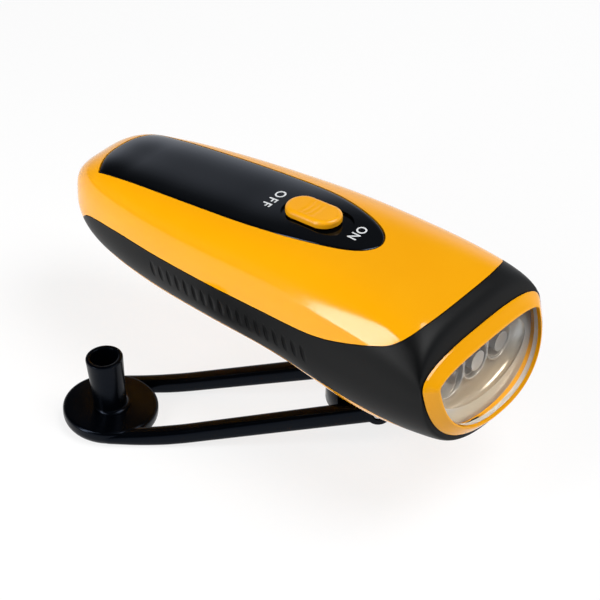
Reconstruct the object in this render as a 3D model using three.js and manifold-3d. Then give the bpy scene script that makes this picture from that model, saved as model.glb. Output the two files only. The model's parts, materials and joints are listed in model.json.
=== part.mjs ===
// Hand crank torch: a rounded, tapering body with a wide lens in front and a folding crank below.
// Lengths are millimetres. +X points to the lens and +Z up. Every piece is placed from the middle of
// the tail, and the whole is then moved so that it stands on z = 0 at the middle of its box.
import * as THREE from "three";
import { mergeVertices } from "three/addons/utils/BufferGeometryUtils.js";
import Module from "manifold-3d";

const wasm = await Module();
wasm.setup();

// Clearances and walls
const fitGap = 0.3;
const cutOverrun = 6;
const weldDistance = 0.001;
const wall = 2.2;
const gripDepth = 1.2;
const panelDepth = 1;
const splitRise = 3;

// Body: its axis runs from the tail to the leaning lens plane
const bodyReach = 137.2;
const bodyHalfWidth = 24.8;
const bodyRise = 22;
const bodyDrop = 17;
const tailDroop = 0.96;
const hubX = 100;

// Lens opening in the leaning front plane, and the rims around it
const openingSideInset = 2.5;
const openingHalfWidth = bodyHalfWidth - openingSideInset;
const openingTop = 8.4;
const openingBottom = 12;
const openingWideHeight = 6.5;
const bezelRim = 3.9;
const noseRim = 4.5;
const bezelDepth = 3;
const skirtOuter = 1.8;
const skirtInner = 0.9;
const skirtDepth = 3;
const lensGrow = 0.6;
const lensThickness = 1.8;

// Top panel and its thumb switch
const panelTailX = 10.3;
const panelTipX = 102;
const panelHalfWidth = 13;
const buttonX = 80;
const buttonLength = 17.5;
const buttonWidth = 9.6;
const buttonHeight = 2.4;
const buttonTravel = 2.5;
const dishDepth = 0.7;
const dishGap = 1.2;
const stemHalfLength = 2.4;
const stemHalfWidth = 2;
const leverHalfLength = 1.5;
const leverHalfWidth = 1;
const leverHeight = 2.4;
const leverSink = 1;
const switchHeight = 4;
const switchHalfLength = 5.5;
const switchHalfWidth = 3;

// Grip band on both sides and over the nose
const bandTipX = 6;
const bandTipZ = -11;

// Crank: hub under the boss, fork of two bars, disc and hollow post
const bossRadius = 11.7;
const bossDrop = 23.7;
const sleeveRadius = 6.5;
const hubRadius = 11;
const hubHalfTongue = 7.7;
const hubHeight = 7;
const shaftRadius = 4;
const squareHalf = 2.7;
const washerRadius = 5;
const washerThickness = 1;
const armReach = 69.75;
const armTurn = 38.6;
const armDrop = 10.87;
const discRadius = 13.1;
const discFootRadius = 11.4;
const discThickness = 4.4;
const discFootRound = 2.4;
const discEdgeRound = 0.4;
const postRadius = 5.15;
const postBaseRadius = 4.45;
const postFilletRadius = 5.5;
const postFilletHeight = 1.2;
const postWall = 1.4;
const postHeight = 16.4;
const postLean = 5.2;
const barWidth = 4.3;
const barHeight = 5.8;
const barFlare = 0.3;
const barTail = 4;
const barSlope = 0.172;
const barLevelReach = 5.3;
const barBendReach = 17.6;
const earRadius = 3.3;
const pivotBack = 3;
const pivotDrop = 3.6;
const pinRadius = 1.25;

// Gear train: wheels drive pinions, each step nearer the tail
const gearModule = 1;
const pinionTeeth = 8;
const driveTeeth = 32;
const idlerTeeth = 24;
const wheelFace = 2.4;
const sleeveHeight = 11.2;
const axleRadius = 1;
const axleFoot = 3;
const seatWall = 1.4;
const idlerHubRadius = 2.4;

// Gear plate and the generator on top of it
const plateThickness = 1.5;
const plateTailReach = 14;
const plateTailHalf = 14.5;
const plateHeadReach = 6;
const plateHeadHalf = 19.5;
const statorRadius = 12.6;
const statorWall = 0.8;
const statorHeight = 8;
const collarWidth = 2;
const collarHeight = 1;
const coilWidth = 2.2;
const coilHeight = 4.6;
const magnetRadius = 7.6;
const magnetHeight = 4.4;

// Screws
const postScrewRadius = 1.1;
const postScrewHead = 2.1;
const postScrewDepth = 4;
const caseScrewRadius = 1.3;
const caseScrewHead = 2.2;
const caseScrewGrip = 6;
const caseMeetZ = -2;
const caseHeadZ = -8;
const screwHeadHeight = 1.4;
const screwWall = 1.6;
const slotWidth = 0.6;
const slotDepth = 0.6;

// Boards, cells, leads and lamps
const boardLift = 2.3;
const boardThickness = 1.2;
const boardHalfWidth = 10;
const boardBack = 16;
const boardFront = 22;
const boardScrewInset = 3;
const cellRadius = 7.7;
const cellLength = 5.4;
const cellCount = 3;
const cellBackX = 12;
const wrapWall = 0.4;
const cradleThickness = 1.6;
const cradleTopDrop = 2;
const leadHalfWidth = 1.2;
const leadHalfThickness = 0.6;
const lampSpacing = 10.5;
const lampZ = -0.4;
const lampRadius = 2.5;
const lampRimRadius = 2.9;
const lampRimHeight = 1;
const lampSetback = 13.5;
const lampBackX = bodyReach - lampSetback;
const lampLength = 8.6;
const lampBoardThickness = 1.2;
const lampBoardHalfWidth = 15;
const lampBoardTop = 5.5;
const lampBoardBottom = 10;
const lampSlotHalfWidth = 6;
const lampSlotWall = 1.5;
const lampSlotGrip = 2.2;
const cupRadius = 6.2;
const reflectorOffset = 2;
const reflectorEdge = 2;

const paint = (color, roughness, metalness) =>
  new THREE.MeshStandardMaterial({ color, roughness, metalness });
const finish = {
  yellow: paint("#fbb018", 0.25, 0),
  black: paint("#1b1c1e", 0.3, 0),
  grip: paint("#232527", 0.6, 0),
  clear: paint("#e8eef0", 0.05, 0),
  silver: paint("#c9c9c6", 0.2, 1),
  steel: paint("#a8abad", 0.35, 1),
  nylon: paint("#e4e0d4", 0.5, 0),
  board: paint("#2f6b45", 0.6, 0),
  copper: paint("#b4622e", 0.4, 1),
  magnet: paint("#4b4c50", 0.5, 0.6),
  wrap: paint("#2d5a9c", 0.5, 0),
};
const mix = THREE.MathUtils.lerp;

// From three.js geometry to a closed solid and back
function toSolid(geometry) {
  const plain = new THREE.BufferGeometry();
  plain.setAttribute("position", geometry.getAttribute("position"));
  plain.setIndex(geometry.index);
  const merged = mergeVertices(plain, weldDistance);
  const corners = merged.index.array;
  const kept = [];
  for (let i = 0; i < corners.length; i += 3) {
    const [a, b, c] = corners.slice(i, i + 3);
    if (a !== b && b !== c && c !== a) kept.push(a, b, c);
  }
  return new wasm.Manifold(
    new wasm.Mesh({
      numProp: 3,
      vertProperties: new Float32Array(merged.attributes.position.array),
      triVerts: new Uint32Array(kept),
    }),
  );
}

function piece(name, solid, material) {
  const { vertProperties, triVerts } = solid.getMesh();
  const geometry = new THREE.BufferGeometry();
  geometry.setAttribute("position", new THREE.BufferAttribute(vertProperties, 3));
  geometry.setIndex(new THREE.BufferAttribute(triVerts, 1));
  geometry.computeVertexNormals();
  const mesh = new THREE.Mesh(geometry, material);
  mesh.name = name;
  return mesh;
}

// Upright rod, rods along X and Y, and block, each by its ends
function rod(radius, low, high, x = 0, y = 0, sides = 12) {
  const shape = new THREE.CylinderGeometry(radius, radius, high - low, sides);
  return toSolid(shape.rotateX(Math.PI / 2).translate(x, y, (low + high) / 2));
}

function rodAlongX(radius, back, front, y, z, sides = 20) {
  const shape = new THREE.CylinderGeometry(radius, radius, front - back, sides);
  return toSolid(shape.rotateZ(-Math.PI / 2).translate((back + front) / 2, y, z));
}

function rodAlongY(radius, low, high, x, z, sides = 20) {
  const shape = new THREE.CylinderGeometry(radius, radius, high - low, sides);
  return toSolid(shape.translate(x, (low + high) / 2, z));
}

function block(x, y, z) {
  const shape = new THREE.BoxGeometry(x[1] - x[0], y[1] - y[0], z[1] - z[0]);
  return toSolid(shape.translate((x[0] + x[1]) / 2, (y[0] + y[1]) / 2, (z[0] + z[1]) / 2));
}

// A plan outline pushed up along Z, or a side view outline pushed along Y
function slab(shape, low, high, curveSegments = 8) {
  const options = { depth: high - low, bevelEnabled: false, curveSegments };
  return toSolid(new THREE.ExtrudeGeometry(shape, options).translate(0, 0, low));
}

function sidePrism(points, halfDepth) {
  const shape = new THREE.Shape(points.map(([x, z]) => new THREE.Vector2(x, z)));
  const body = new THREE.ExtrudeGeometry(shape, { depth: 2 * halfDepth, bevelEnabled: false });
  return toSolid(body.rotateX(Math.PI / 2).translate(0, halfDepth, 0));
}

// A profile of radius and height, turned about Z, or about a line along X
function turned(profile, x = 0, sides = 24) {
  const points = profile.map(([radius, height]) => new THREE.Vector2(radius, height));
  return toSolid(new THREE.LatheGeometry(points, sides).rotateX(Math.PI / 2).translate(x, 0, 0));
}

function turnedAlongX(profile, x, y, z, sides = 18) {
  const points = profile.map(([radius, height]) => new THREE.Vector2(radius, height));
  const shape = new THREE.LatheGeometry(points, sides).rotateX(Math.PI / 2);
  return toSolid(shape.rotateY(Math.PI / 2).translate(x, y, z));
}

// Rings of equal count joined into a skin with closed ends, or with the last ring joined to the first
function skinOver(rings, endless = false) {
  const count = rings[0].length;
  const positions = rings.flat().flatMap((p) => [p.x, p.y, p.z]);
  const index = [];
  const steps = endless ? rings.length : rings.length - 1;
  for (let r = 0; r < steps; r++) {
    const near = r * count;
    const far = ((r + 1) % rings.length) * count;
    for (let i = 0; i < count; i++) {
      const j = (i + 1) % count;
      index.push(near + i, near + j, far + j, near + i, far + j, far + i);
    }
  }
  if (!endless) {
    capRing(rings[0], 0, true, positions, index);
    capRing(rings.at(-1), (rings.length - 1) * count, false, positions, index);
  }
  const geometry = new THREE.BufferGeometry();
  geometry.setAttribute("position", new THREE.Float32BufferAttribute(positions, 3));
  geometry.setIndex(index);
  return toSolid(geometry);
}

function capRing(ring, first, flip, positions, index) {
  const middle = ring.reduce((sum, p) => sum.clone().add(p), new THREE.Vector3());
  middle.divideScalar(ring.length);
  const hub = positions.length / 3;
  positions.push(middle.x, middle.y, middle.z);
  for (let i = 0; i < ring.length; i++) {
    const j = (i + 1) % ring.length;
    index.push(hub, first + (flip ? j : i), first + (flip ? i : j));
  }
}

// Body sections: shares of the half width, rise and drop at even steps from the tail to the nose
const curve = (shares) => {
  const spline = new THREE.SplineCurve(shares.map((share, i) => new THREE.Vector2(i, share)));
  return (u) => spline.getPoint(u).y;
};
const widthShare = curve([0, 0.356, 0.596, 0.755, 0.869, 0.947, 0.99, 1.039, 1.08]);
const riseShare = curve([0, 0.327, 0.582, 0.681, 0.771, 0.871, 0.969, 0.971, 0.923]);
const dropShare = curve([0, 0.463, 0.776, 0.956, 1.017, 0.983, 0.975, 1.2, 0.953]);
const topPower = 3.6;
const bottomPower = 2.6;
const noseTopPower = 2.8;
const noseBottomPower = 2.3;
const faceLean = -0.28;

// The nose rounds over to the outline around the lens opening
const roundOverShare = 0.81;
const roundOverPower = 4;
const rimTopShare = 0.76;
const rimBottomShare = 0.66;
function noseBlend(u) {
  const share = Math.max(0, (u - roundOverShare) / (1 - roundOverShare));
  return 1 - (1 - Math.min(1, share) ** roundOverPower) ** (1 / roundOverPower);
}

const superCircle = (angle, power) =>
  [Math.cos(angle), Math.sin(angle)].map(
    (value) => Math.sign(value) * Math.abs(value) ** (2 / power),
  );

// Outline around the lens opening, grown outward by a rim: half width, top, bottom
const noseOutline = (grow) => [
  openingHalfWidth + grow,
  openingTop + rimTopShare * grow,
  openingBottom + rimBottomShare * grow,
];

function section(u, angle, inset) {
  const blend = noseBlend(u);
  const [noseHalf, noseTop, noseBottom] = noseOutline(noseRim - inset);
  const halfWidth = mix(bodyHalfWidth * widthShare(u) - inset, noseHalf, blend);
  const top = mix(bodyRise * riseShare(u) - inset, noseTop, blend);
  const bottom = mix(bodyDrop * dropShare(u) - inset, noseBottom, blend);
  const wide = openingWideHeight * blend;
  const upper = Math.sin(angle) >= 0;
  const power = upper
    ? mix(topPower, noseTopPower, blend)
    : mix(bottomPower, noseBottomPower, blend);
  const [across, along] = superCircle(angle, power);
  const middle = wide - tailDroop * (1 - u) ** 2;
  return [halfWidth * across, middle + along * (upper ? top - wide : bottom + wide)];
}

const stationX = (u) => bodyReach * (1 - Math.cos((u * Math.PI) / 2));
const stationOf = (x) => Math.acos(1 - x / bodyReach) / (Math.PI / 2);
const skinX = (u, z) => stationX(u) + faceLean * u ** 3 * z;
const bodySides = 28;
const bodyStations = 18;
const stationCrowdPower = 1.5;

function bodyRing(u, inset, shift) {
  return Array.from({ length: bodySides }, (_, i) => {
    const [y, z] = section(u, (i / bodySides) * 2 * Math.PI, inset);
    return new THREE.Vector3(skinX(u, z) + shift, y, z);
  });
}

function bodySolid(inset, reach = 0) {
  const first = stationOf(1.5 * inset);
  const rings = [];
  for (let step = 0; step <= bodyStations; step++) {
    const share = 1 - (1 - step / bodyStations) ** stationCrowdPower;
    rings.push(bodyRing(mix(first, 1, share), inset, 0));
  }
  if (reach > 0) rings.push(bodyRing(1, inset, reach));
  return skinOver(rings);
}

// Height of the skin in the body's middle plane, above or below a true X
function skinHeight(x, angle, inset) {
  let u = stationOf(x);
  for (let pass = 0; pass < 8; pass++) {
    const z = section(u, angle, inset)[1];
    u = stationOf(Math.min(bodyReach, x - faceLean * u ** 3 * z));
  }
  return section(u, angle, inset)[1];
}
const skinTop = (x) => skinHeight(x, Math.PI / 2, 0);
const floorInside = (x) => skinHeight(x, -Math.PI / 2, wall);

const bodySkin = bodySolid(0);
const gripSeat = bodySolid(gripDepth + fitGap);
const cavity = bodySolid(wall, cutOverrun);

// Side view lines between the yellow shells and the grip band, and between the shells behind it:
// shares of the reach and of the rise
const gripTopShares = [
  [0.07, -0.33], [0.116, -0.13], [0.176, 0.018], [0.246, 0.086], [0.414, 0.11], [0.613, 0.195],
  [0.673, 0.217], [0.716, 0.245], [0.758, 0.301], [0.8, 0.386], [0.838, 0.474], [0.874, 0.561],
  [0.895, 0.615], [0.911, 0.675], [0.925, 0.744], [0.9325, 0.79], [0.938, 0.815], [0.944, 0.84],
  [0.947, 1.4],
];
const gripBottomShares = [
  [0.15, -0.525], [0.45, -0.475], [0.88, -0.495], [0.94, -0.53], [0.968, -0.6], [0.982, -0.75],
  [0.986, -1.3],
];
const splitShares = [[0.15, -0.525], [0.45, -0.475], [1.06, -0.51]];
const onBody = ([alongShare, upShare]) => [alongShare * bodyReach, upShare * bodyRise];
const gripTop = [[bandTipX, bandTipZ], ...gripTopShares.map(onBody)];
const gripBottom = [[bandTipX, bandTipZ], ...gripBottomShares.map(onBody)];
const splitLine = [
  [bandTipX, bandTipZ],
  ...splitShares.map(onBody).map(([x, z]) => [x, z + splitRise]),
];
const wideAcross = bodyHalfWidth + cutOverrun;
const farAbove = 1.4 * bodyRise;
const farBelow = -bossDrop - cutOverrun;

function above(line, shift) {
  const low = line.map(([x, z]) => [x, z + shift]);
  const back = -cutOverrun;
  return sidePrism([[back, low[0][1]], ...low, [low.at(-1)[0], farAbove + cutOverrun],
    [back, farAbove + cutOverrun]], wideAcross);
}

function below(line, shift) {
  const high = line.map(([x, z]) => [x, z + shift]);
  const back = -cutOverrun;
  const end = high.at(-1)[0];
  return sidePrism([[back, farBelow], [end, farBelow], ...high.reverse(),
    [back, bandTipZ + shift]], wideAcross);
}

// Gear geometry: thick pinion teeth and thin wheel teeth, so that eight-tooth pinions run freely
const pressureAngle = THREE.MathUtils.degToRad(20);
const toothShiftShare = 0.45;
const toothFootShare = 1.25;
const toothPlayShare = 0.1;
const flankShare = 0.4;
const wheelRadius = (teeth) => (gearModule * teeth) / 2;
const involute = (angle) => Math.tan(angle) - angle;

function gearShape(teeth, shiftShare, turn) {
  const pitch = wheelRadius(teeth);
  const base = pitch * Math.cos(pressureAngle);
  const root = pitch - gearModule * (toothFootShare - shiftShare);
  const tip = pitch + gearModule * (1 + shiftShare - toothPlayShare);
  const widening = 2 * shiftShare * Math.tan(pressureAngle);
  const thickness = gearModule * (Math.PI / 2 + widening - toothPlayShare);
  const halfAngle = (radius) => {
    const lean = Math.acos(Math.min(1, base / radius));
    return thickness / (2 * pitch) + involute(pressureAngle) - involute(lean);
  };
  const flank = [root, mix(Math.max(root, base), tip, flankShare), tip];
  const points = [];
  for (let tooth = 0; tooth < teeth; tooth++) {
    const middle = turn + (tooth * 2 * Math.PI) / teeth;
    const climb = flank.map((radius) => [radius, middle - halfAngle(radius)]);
    const fall = flank.map((radius) => [radius, middle + halfAngle(radius)]).reverse();
    for (const [radius, angle] of [...climb, ...fall]) {
      points.push(new THREE.Vector2(radius * Math.cos(angle), radius * Math.sin(angle)));
    }
  }
  return new THREE.Shape(points);
}

const wheel = (teeth, turn, low, high) =>
  slab(gearShape(teeth, -toothShiftShare, turn), low, high);
const pinion = (low, high) =>
  slab(gearShape(pinionTeeth, toothShiftShare, Math.PI / pinionTeeth), low, high);

// Levels of the gear train, and the axles in line towards the tail
const levelA = -bossDrop + sleeveHeight + fitGap;
const levelB = levelA + wheelFace + 2 * fitGap;
const levelC = levelB + wheelFace + 2 * fitGap;
const plateLow = levelC + wheelFace + fitGap;
const plateHigh = plateLow + plateThickness;
const idlerOneX = hubX - wheelRadius(driveTeeth) - wheelRadius(pinionTeeth);
const idlerTwoX = idlerOneX - wheelRadius(idlerTeeth) - wheelRadius(pinionTeeth);
const rotorX = idlerTwoX - wheelRadius(idlerTeeth) - wheelRadius(pinionTeeth);
const axleHole = axleRadius + fitGap;

// Screw spots, as X and Y from the tail
const plateSpotShares = [0.83, 1.32];
const plateScrewSpots = [
  [rotorX - plateSpotShares[0] * statorRadius, statorRadius],
  [rotorX - plateSpotShares[0] * statorRadius, -statorRadius],
  [idlerOneX + 2 * seatWall + 2 * axleHole, plateSpotShares[1] * statorRadius],
  [idlerOneX + 2 * seatWall + 2 * axleHole, -plateSpotShares[1] * statorRadius],
];
const caseSpotShares = [0.465, 0.69];
const caseScrewSpots = [
  [2 * cellBackX, caseSpotShares[0] * bodyHalfWidth],
  [2 * cellBackX, -caseSpotShares[0] * bodyHalfWidth],
  [hubX + 2 * sleeveRadius, caseSpotShares[1] * bodyHalfWidth],
  [hubX + 2 * sleeveRadius, -caseSpotShares[1] * bodyHalfWidth],
];
const boardZ = plateHigh + statorHeight + boardLift;
const boardTop = boardZ + boardThickness;
const boardScrewSpots = [
  buttonX - boardBack + boardScrewInset,
  buttonX + boardFront - boardScrewInset,
];

// Front plane outline around the opening, grown by a rim and moved forward
const openingSides = 36;
function opening(grow, forward) {
  const [halfWidth, top, bottom] = noseOutline(grow);
  return Array.from({ length: openingSides }, (_, i) => {
    const angle = (i / openingSides) * 2 * Math.PI;
    const upper = Math.sin(angle) >= 0;
    const [across, along] = superCircle(angle, upper ? noseTopPower : noseBottomPower);
    const climb = upper ? top - openingWideHeight : bottom + openingWideHeight;
    const z = openingWideHeight + along * climb;
    return new THREE.Vector3(bodyReach + faceLean * z + forward, across * halfWidth, z);
  });
}

// Panel outline: shares of its length and half width along one side, from the tail corner to the tip
const panelSideShares = [
  [0.045, 0.94], [0.19, 0.97], [0.35, 0.995], [0.54, 1], [0.673, 0.965], [0.782, 0.88],
  [0.9, 0.66], [0.973, 0.37],
];
function panelOutline(grow) {
  const tail = panelTailX - grow;
  const tip = panelTipX + grow;
  const side = panelSideShares.map(([alongShare, acrossShare]) => [
    mix(tail, tip, alongShare),
    panelHalfWidth * acrossShare + grow,
  ]);
  const [cornerX, cornerY] = side[0];
  const shape = new THREE.Shape();
  shape.moveTo(cornerX, cornerY);
  shape.quadraticCurveTo(2 * tail - cornerX, 0, cornerX, -cornerY);
  const round = [
    ...side.slice(1).map(([x, y]) => [x, -y]),
    [tip, 0],
    ...side.slice(1).reverse(),
  ];
  shape.splineThru(round.map(([x, y]) => new THREE.Vector2(x, y)));
  shape.closePath();
  return shape;
}

function stadium(x, y, length, width) {
  const shape = new THREE.Shape();
  const radius = width / 2;
  const straight = length / 2 - radius;
  shape.absarc(x + straight, y, radius, -Math.PI / 2, Math.PI / 2);
  shape.absarc(x - straight, y, radius, Math.PI / 2, (3 * Math.PI) / 2);
  shape.closePath();
  return shape;
}

const stemSlot = (grow) =>
  block(
    [
      buttonX - stemHalfLength - fitGap - grow,
      buttonX + stemHalfLength + buttonTravel + fitGap + grow,
    ],
    [-stemHalfWidth - fitGap - grow, stemHalfWidth + fitGap + grow],
    [boardTop, farAbove],
  );

// A post for a screw or an axle, kept inside the body's skin
const post = (radius, low, high, x, y) => rod(radius, low, high, x, y).intersect(gripSeat);

function upperShell() {
  let shell = bodySkin
    .intersect(above(gripTop, fitGap / 2))
    .add(gripSeat)
    .intersect(above(splitLine, fitGap / 2))
    .subtract(cavity);
  const meet = caseMeetZ + fitGap / 2;
  for (const [x, y] of caseScrewSpots) {
    shell = shell
      .add(post(caseScrewRadius + screwWall, meet, bodyRise, x, y))
      .subtract(rod(caseScrewRadius + fitGap, meet - fitGap, caseMeetZ + caseScrewGrip, x, y));
  }
  const foot = boardTop + fitGap;
  for (const x of boardScrewSpots) {
    shell = shell
      .add(post(postScrewRadius + screwWall, foot, bodyRise, x, 0))
      .subtract(rod(postScrewRadius + fitGap, foot - fitGap, foot + postScrewDepth, x, 0));
  }
  const panelSeat = slab(panelOutline(fitGap), 0, farAbove, 3)
    .subtract(bodySolid(panelDepth + fitGap));
  return shell.subtract(panelSeat).subtract(stemSlot(0));
}

function lowerShell() {
  let shell = bodySkin
    .intersect(below(gripBottom, -fitGap / 2))
    .add(gripSeat)
    .intersect(below(splitLine, -fitGap / 2))
    .subtract(cavity)
    .add(rod(bossRadius, -bossDrop, floorInside(hubX) + fitGap, hubX, 0, 32))
    .add(rod(sleeveRadius, -bossDrop, levelA - fitGap, hubX, 0, 20))
    .subtract(rod(shaftRadius + fitGap, farBelow, 0, hubX, 0, 20))
    .add(cellCradle())
    .add(lampSlot());
  const axleSeats = [[idlerOneX, levelA], [idlerTwoX, levelB], [rotorX, levelC]];
  for (const [x, level] of axleSeats) {
    const top = level - fitGap;
    shell = shell
      .add(post(axleHole + seatWall, -bodyDrop, top, x, 0))
      .subtract(rod(axleHole, top - axleFoot - fitGap, top + fitGap, x, 0));
  }
  for (const [x, y] of plateScrewSpots) {
    const top = plateLow - fitGap;
    shell = shell
      .add(post(postScrewRadius + screwWall, -bodyDrop, top, x, y))
      .subtract(rod(postScrewRadius + fitGap, top - postScrewDepth, top + fitGap, x, y));
  }
  for (const [x, y] of caseScrewSpots) {
    shell = shell
      .add(post(caseScrewRadius + screwWall, -bodyDrop, caseMeetZ - fitGap / 2, x, y))
      .subtract(rod(caseScrewRadius + fitGap, -bodyDrop, 0, x, y))
      .subtract(rod(caseScrewHead + fitGap, farBelow, caseHeadZ, x, y));
  }
  return shell;
}

const batteryLength = cellCount * cellLength + (cellCount - 1) * fitGap;
const cellZ = (-tailDroop * (bodyReach - cellBackX)) / bodyReach / 2;
const wrapRadius = cellRadius + fitGap + wrapWall;

// Two ribs that the wrapped cells lie in
const cradleShares = [0.2, 0.8];
function cellCradle() {
  const ribs = cradleShares.map((share) => {
    const x = cellBackX + share * batteryLength - cradleThickness / 2;
    return block([x, x + cradleThickness], [-bodyHalfWidth, bodyHalfWidth],
      [-bodyDrop, cellZ - cradleTopDrop]);
  });
  return ribs[0]
    .add(ribs[1])
    .intersect(gripSeat)
    .intersect(below(splitLine, -fitGap / 2).add(cavity.intersect(bodySolid(wall + fitGap))))
    .subtract(rodAlongX(wrapRadius + fitGap, 0, hubX, 0, cellZ, 32));
}

// A slot in the floor that holds the lamp board's lower edge
const lampBoardX = lampBackX - fitGap - lampBoardThickness;
function lampSlot() {
  const rib = block(
    [lampBoardX - fitGap - lampSlotWall, lampBackX + lampSlotWall],
    [-lampSlotHalfWidth, lampSlotHalfWidth],
    [-bodyDrop, -lampBoardBottom + lampSlotGrip],
  ).intersect(gripSeat);
  return rib.subtract(
    block(
      [lampBoardX - fitGap, lampBackX],
      [-lampSlotHalfWidth - fitGap, lampSlotHalfWidth + fitGap],
      [-lampBoardBottom - fitGap, 0],
    ),
  );
}

function gripCollar() {
  return bodySkin
    .subtract(bodySolid(gripDepth, cutOverrun))
    .subtract(above(gripTop, -fitGap / 2))
    .subtract(below(gripBottom, fitGap / 2));
}

function topPanel() {
  const dish = slab(
    stadium(buttonX + buttonTravel / 2, 0, buttonLength + buttonTravel + 2 * dishGap,
      buttonWidth + 2 * dishGap),
    0,
    farAbove,
  ).subtract(bodySolid(dishDepth, cutOverrun));
  return bodySkin
    .subtract(bodySolid(panelDepth, cutOverrun))
    .intersect(slab(panelOutline(0), 0, farAbove, 3))
    .subtract(dish)
    .subtract(stemSlot(0));
}

// Thumb switch: a cap that follows the slope of the panel, with a forked stem over the lever
const deckSlope =
  (skinTop(buttonX + buttonLength / 2) - skinTop(buttonX - buttonLength / 2)) / buttonLength;
const capLow = skinTop(buttonX) - dishDepth + fitGap;
const capInsetShares = [0, 0, 0.12, 0.34];
const capHeightShares = [0, 0.55, 0.85, 1];
const switchTop = boardTop + fitGap + switchHeight;

function switchButton() {
  const cap = skinOver(
    capInsetShares.map((share, i) => {
      const inset = share * buttonWidth;
      const outline = stadium(buttonX, 0, buttonLength - inset, buttonWidth - inset);
      const height = capLow + capHeightShares[i] * buttonHeight;
      return outline
        .getSpacedPoints(32)
        .slice(0, -1)
        .map((p) => new THREE.Vector3(p.x, p.y, height + deckSlope * (p.x - buttonX)));
    }),
  );
  const stem = block(
    [buttonX - stemHalfLength, buttonX + stemHalfLength],
    [-stemHalfWidth, stemHalfWidth],
    [switchTop + fitGap, capLow + deckSlope * stemHalfLength],
  );
  const fork = block(
    [buttonX - leverHalfLength - fitGap, buttonX + leverHalfLength + fitGap],
    [-leverHalfWidth - fitGap, leverHalfWidth + fitGap],
    [switchTop, switchTop + leverHeight + fitGap],
  );
  return cap.add(stem).subtract(fork);
}

const switchLever = () =>
  block(
    [buttonX - leverHalfLength, buttonX + leverHalfLength],
    [-leverHalfWidth, leverHalfWidth],
    [switchTop - leverSink, switchTop + leverHeight],
  );

function switchBase() {
  const shoulder = block(
    [buttonX - switchHalfLength, buttonX + switchHalfLength],
    [-switchHalfWidth, switchHalfWidth],
    [boardTop + fitGap, switchTop],
  );
  return shoulder.subtract(
    block(
      [buttonX - leverHalfLength - fitGap, buttonX + leverHalfLength + buttonTravel + fitGap],
      [-leverHalfWidth - fitGap, leverHalfWidth + fitGap],
      [switchTop - leverSink - fitGap, switchTop + fitGap],
    ),
  );
}

// Lens frame: a rounded rim in front, and a skirt inside the nose that holds lens and reflector
const bezelRimShares = [1, 0.87, 0.5, 0.15, 0];
const bezelForwardShares = [0, 0.18, 0.52, 0.84, 0.88];
function bezelRing() {
  const front = bezelRimShares.map((share, i) =>
    opening(share * bezelRim, fitGap + bezelForwardShares[i] * bezelDepth),
  );
  const rings = [
    ...front,
    opening(0, fitGap),
    opening(skirtInner, fitGap),
    opening(skirtInner, -skirtDepth),
    opening(skirtOuter, -skirtDepth),
    opening(skirtOuter, fitGap),
  ];
  return skinOver(rings, true);
}

const lensPlate = () => skinOver([opening(lensGrow, -lensThickness), opening(lensGrow, 0)]);

// Metallised reflector: a tapered block with a cup for each lamp and one shallow bowl below them
const lampRows = [-lampSpacing, 0, lampSpacing];
const cupDepthShares = [0.18, 0.3, 0.45, 0.65, 0.85, 1.1];
const bowlWidthShare = 0.84;
const bowlDropShare = 0.85;
const reflectorBackShare = 0.88;
const reflectorBackX = lampBackX + reflectorOffset;

function reflector() {
  const front = -lensThickness - fitGap;
  const back = opening(-(1 - reflectorBackShare) * openingHalfWidth, 0).map(
    (p) => new THREE.Vector3(reflectorBackX, p.y, p.z),
  );
  let solid = skinOver([back, opening(lensGrow, front - reflectorEdge), opening(lensGrow, front)]);
  const depth = bodyReach - reflectorBackX;
  const cup = cupDepthShares.map((share) => [cupRadius * Math.sqrt(share), share * depth]);
  const profile = [[0, cup[0][1]], ...cup, [0, cup.at(-1)[1]]];
  for (const y of lampRows) {
    solid = solid
      .subtract(turnedAlongX(profile, reflectorBackX, y, lampZ))
      .subtract(
        rodAlongX(lampRadius + fitGap, reflectorBackX - fitGap, bodyReach, y, lampZ),
      );
  }
  const bowl = new THREE.SphereGeometry(1, 20, 10)
    .scale(depth / 2, bowlWidthShare * openingHalfWidth, bowlDropShare * openingBottom)
    .translate(bodyReach + front, 0, 0);
  return solid.subtract(toSolid(bowl));
}

const domeShares = [0.35, 0.7, 0.92];
function lamp(y) {
  const shoulder = lampLength - lampRadius;
  const dome = domeShares.map((share) => [
    lampRadius * Math.sqrt(1 - share * share),
    shoulder + share * lampRadius,
  ]);
  const profile = [
    [0, 0], [lampRimRadius, 0], [lampRimRadius, lampRimHeight], [lampRadius, lampRimHeight],
    [lampRadius, shoulder], ...dome, [0, lampLength],
  ];
  return turnedAlongX(profile, lampBackX, y, lampZ, 14);
}

const lampBoard = () =>
  block(
    [lampBoardX, lampBoardX + lampBoardThickness],
    [-lampBoardHalfWidth, lampBoardHalfWidth],
    [-lampBoardBottom, lampBoardTop],
  );

function controlBoard() {
  let board = block(
    [buttonX - boardBack, buttonX + boardFront],
    [-boardHalfWidth, boardHalfWidth],
    [boardZ, boardTop],
  );
  for (const x of boardScrewSpots) {
    board = board.subtract(rod(postScrewRadius + fitGap, boardZ - fitGap, boardTop + fitGap, x));
  }
  return board;
}

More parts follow.
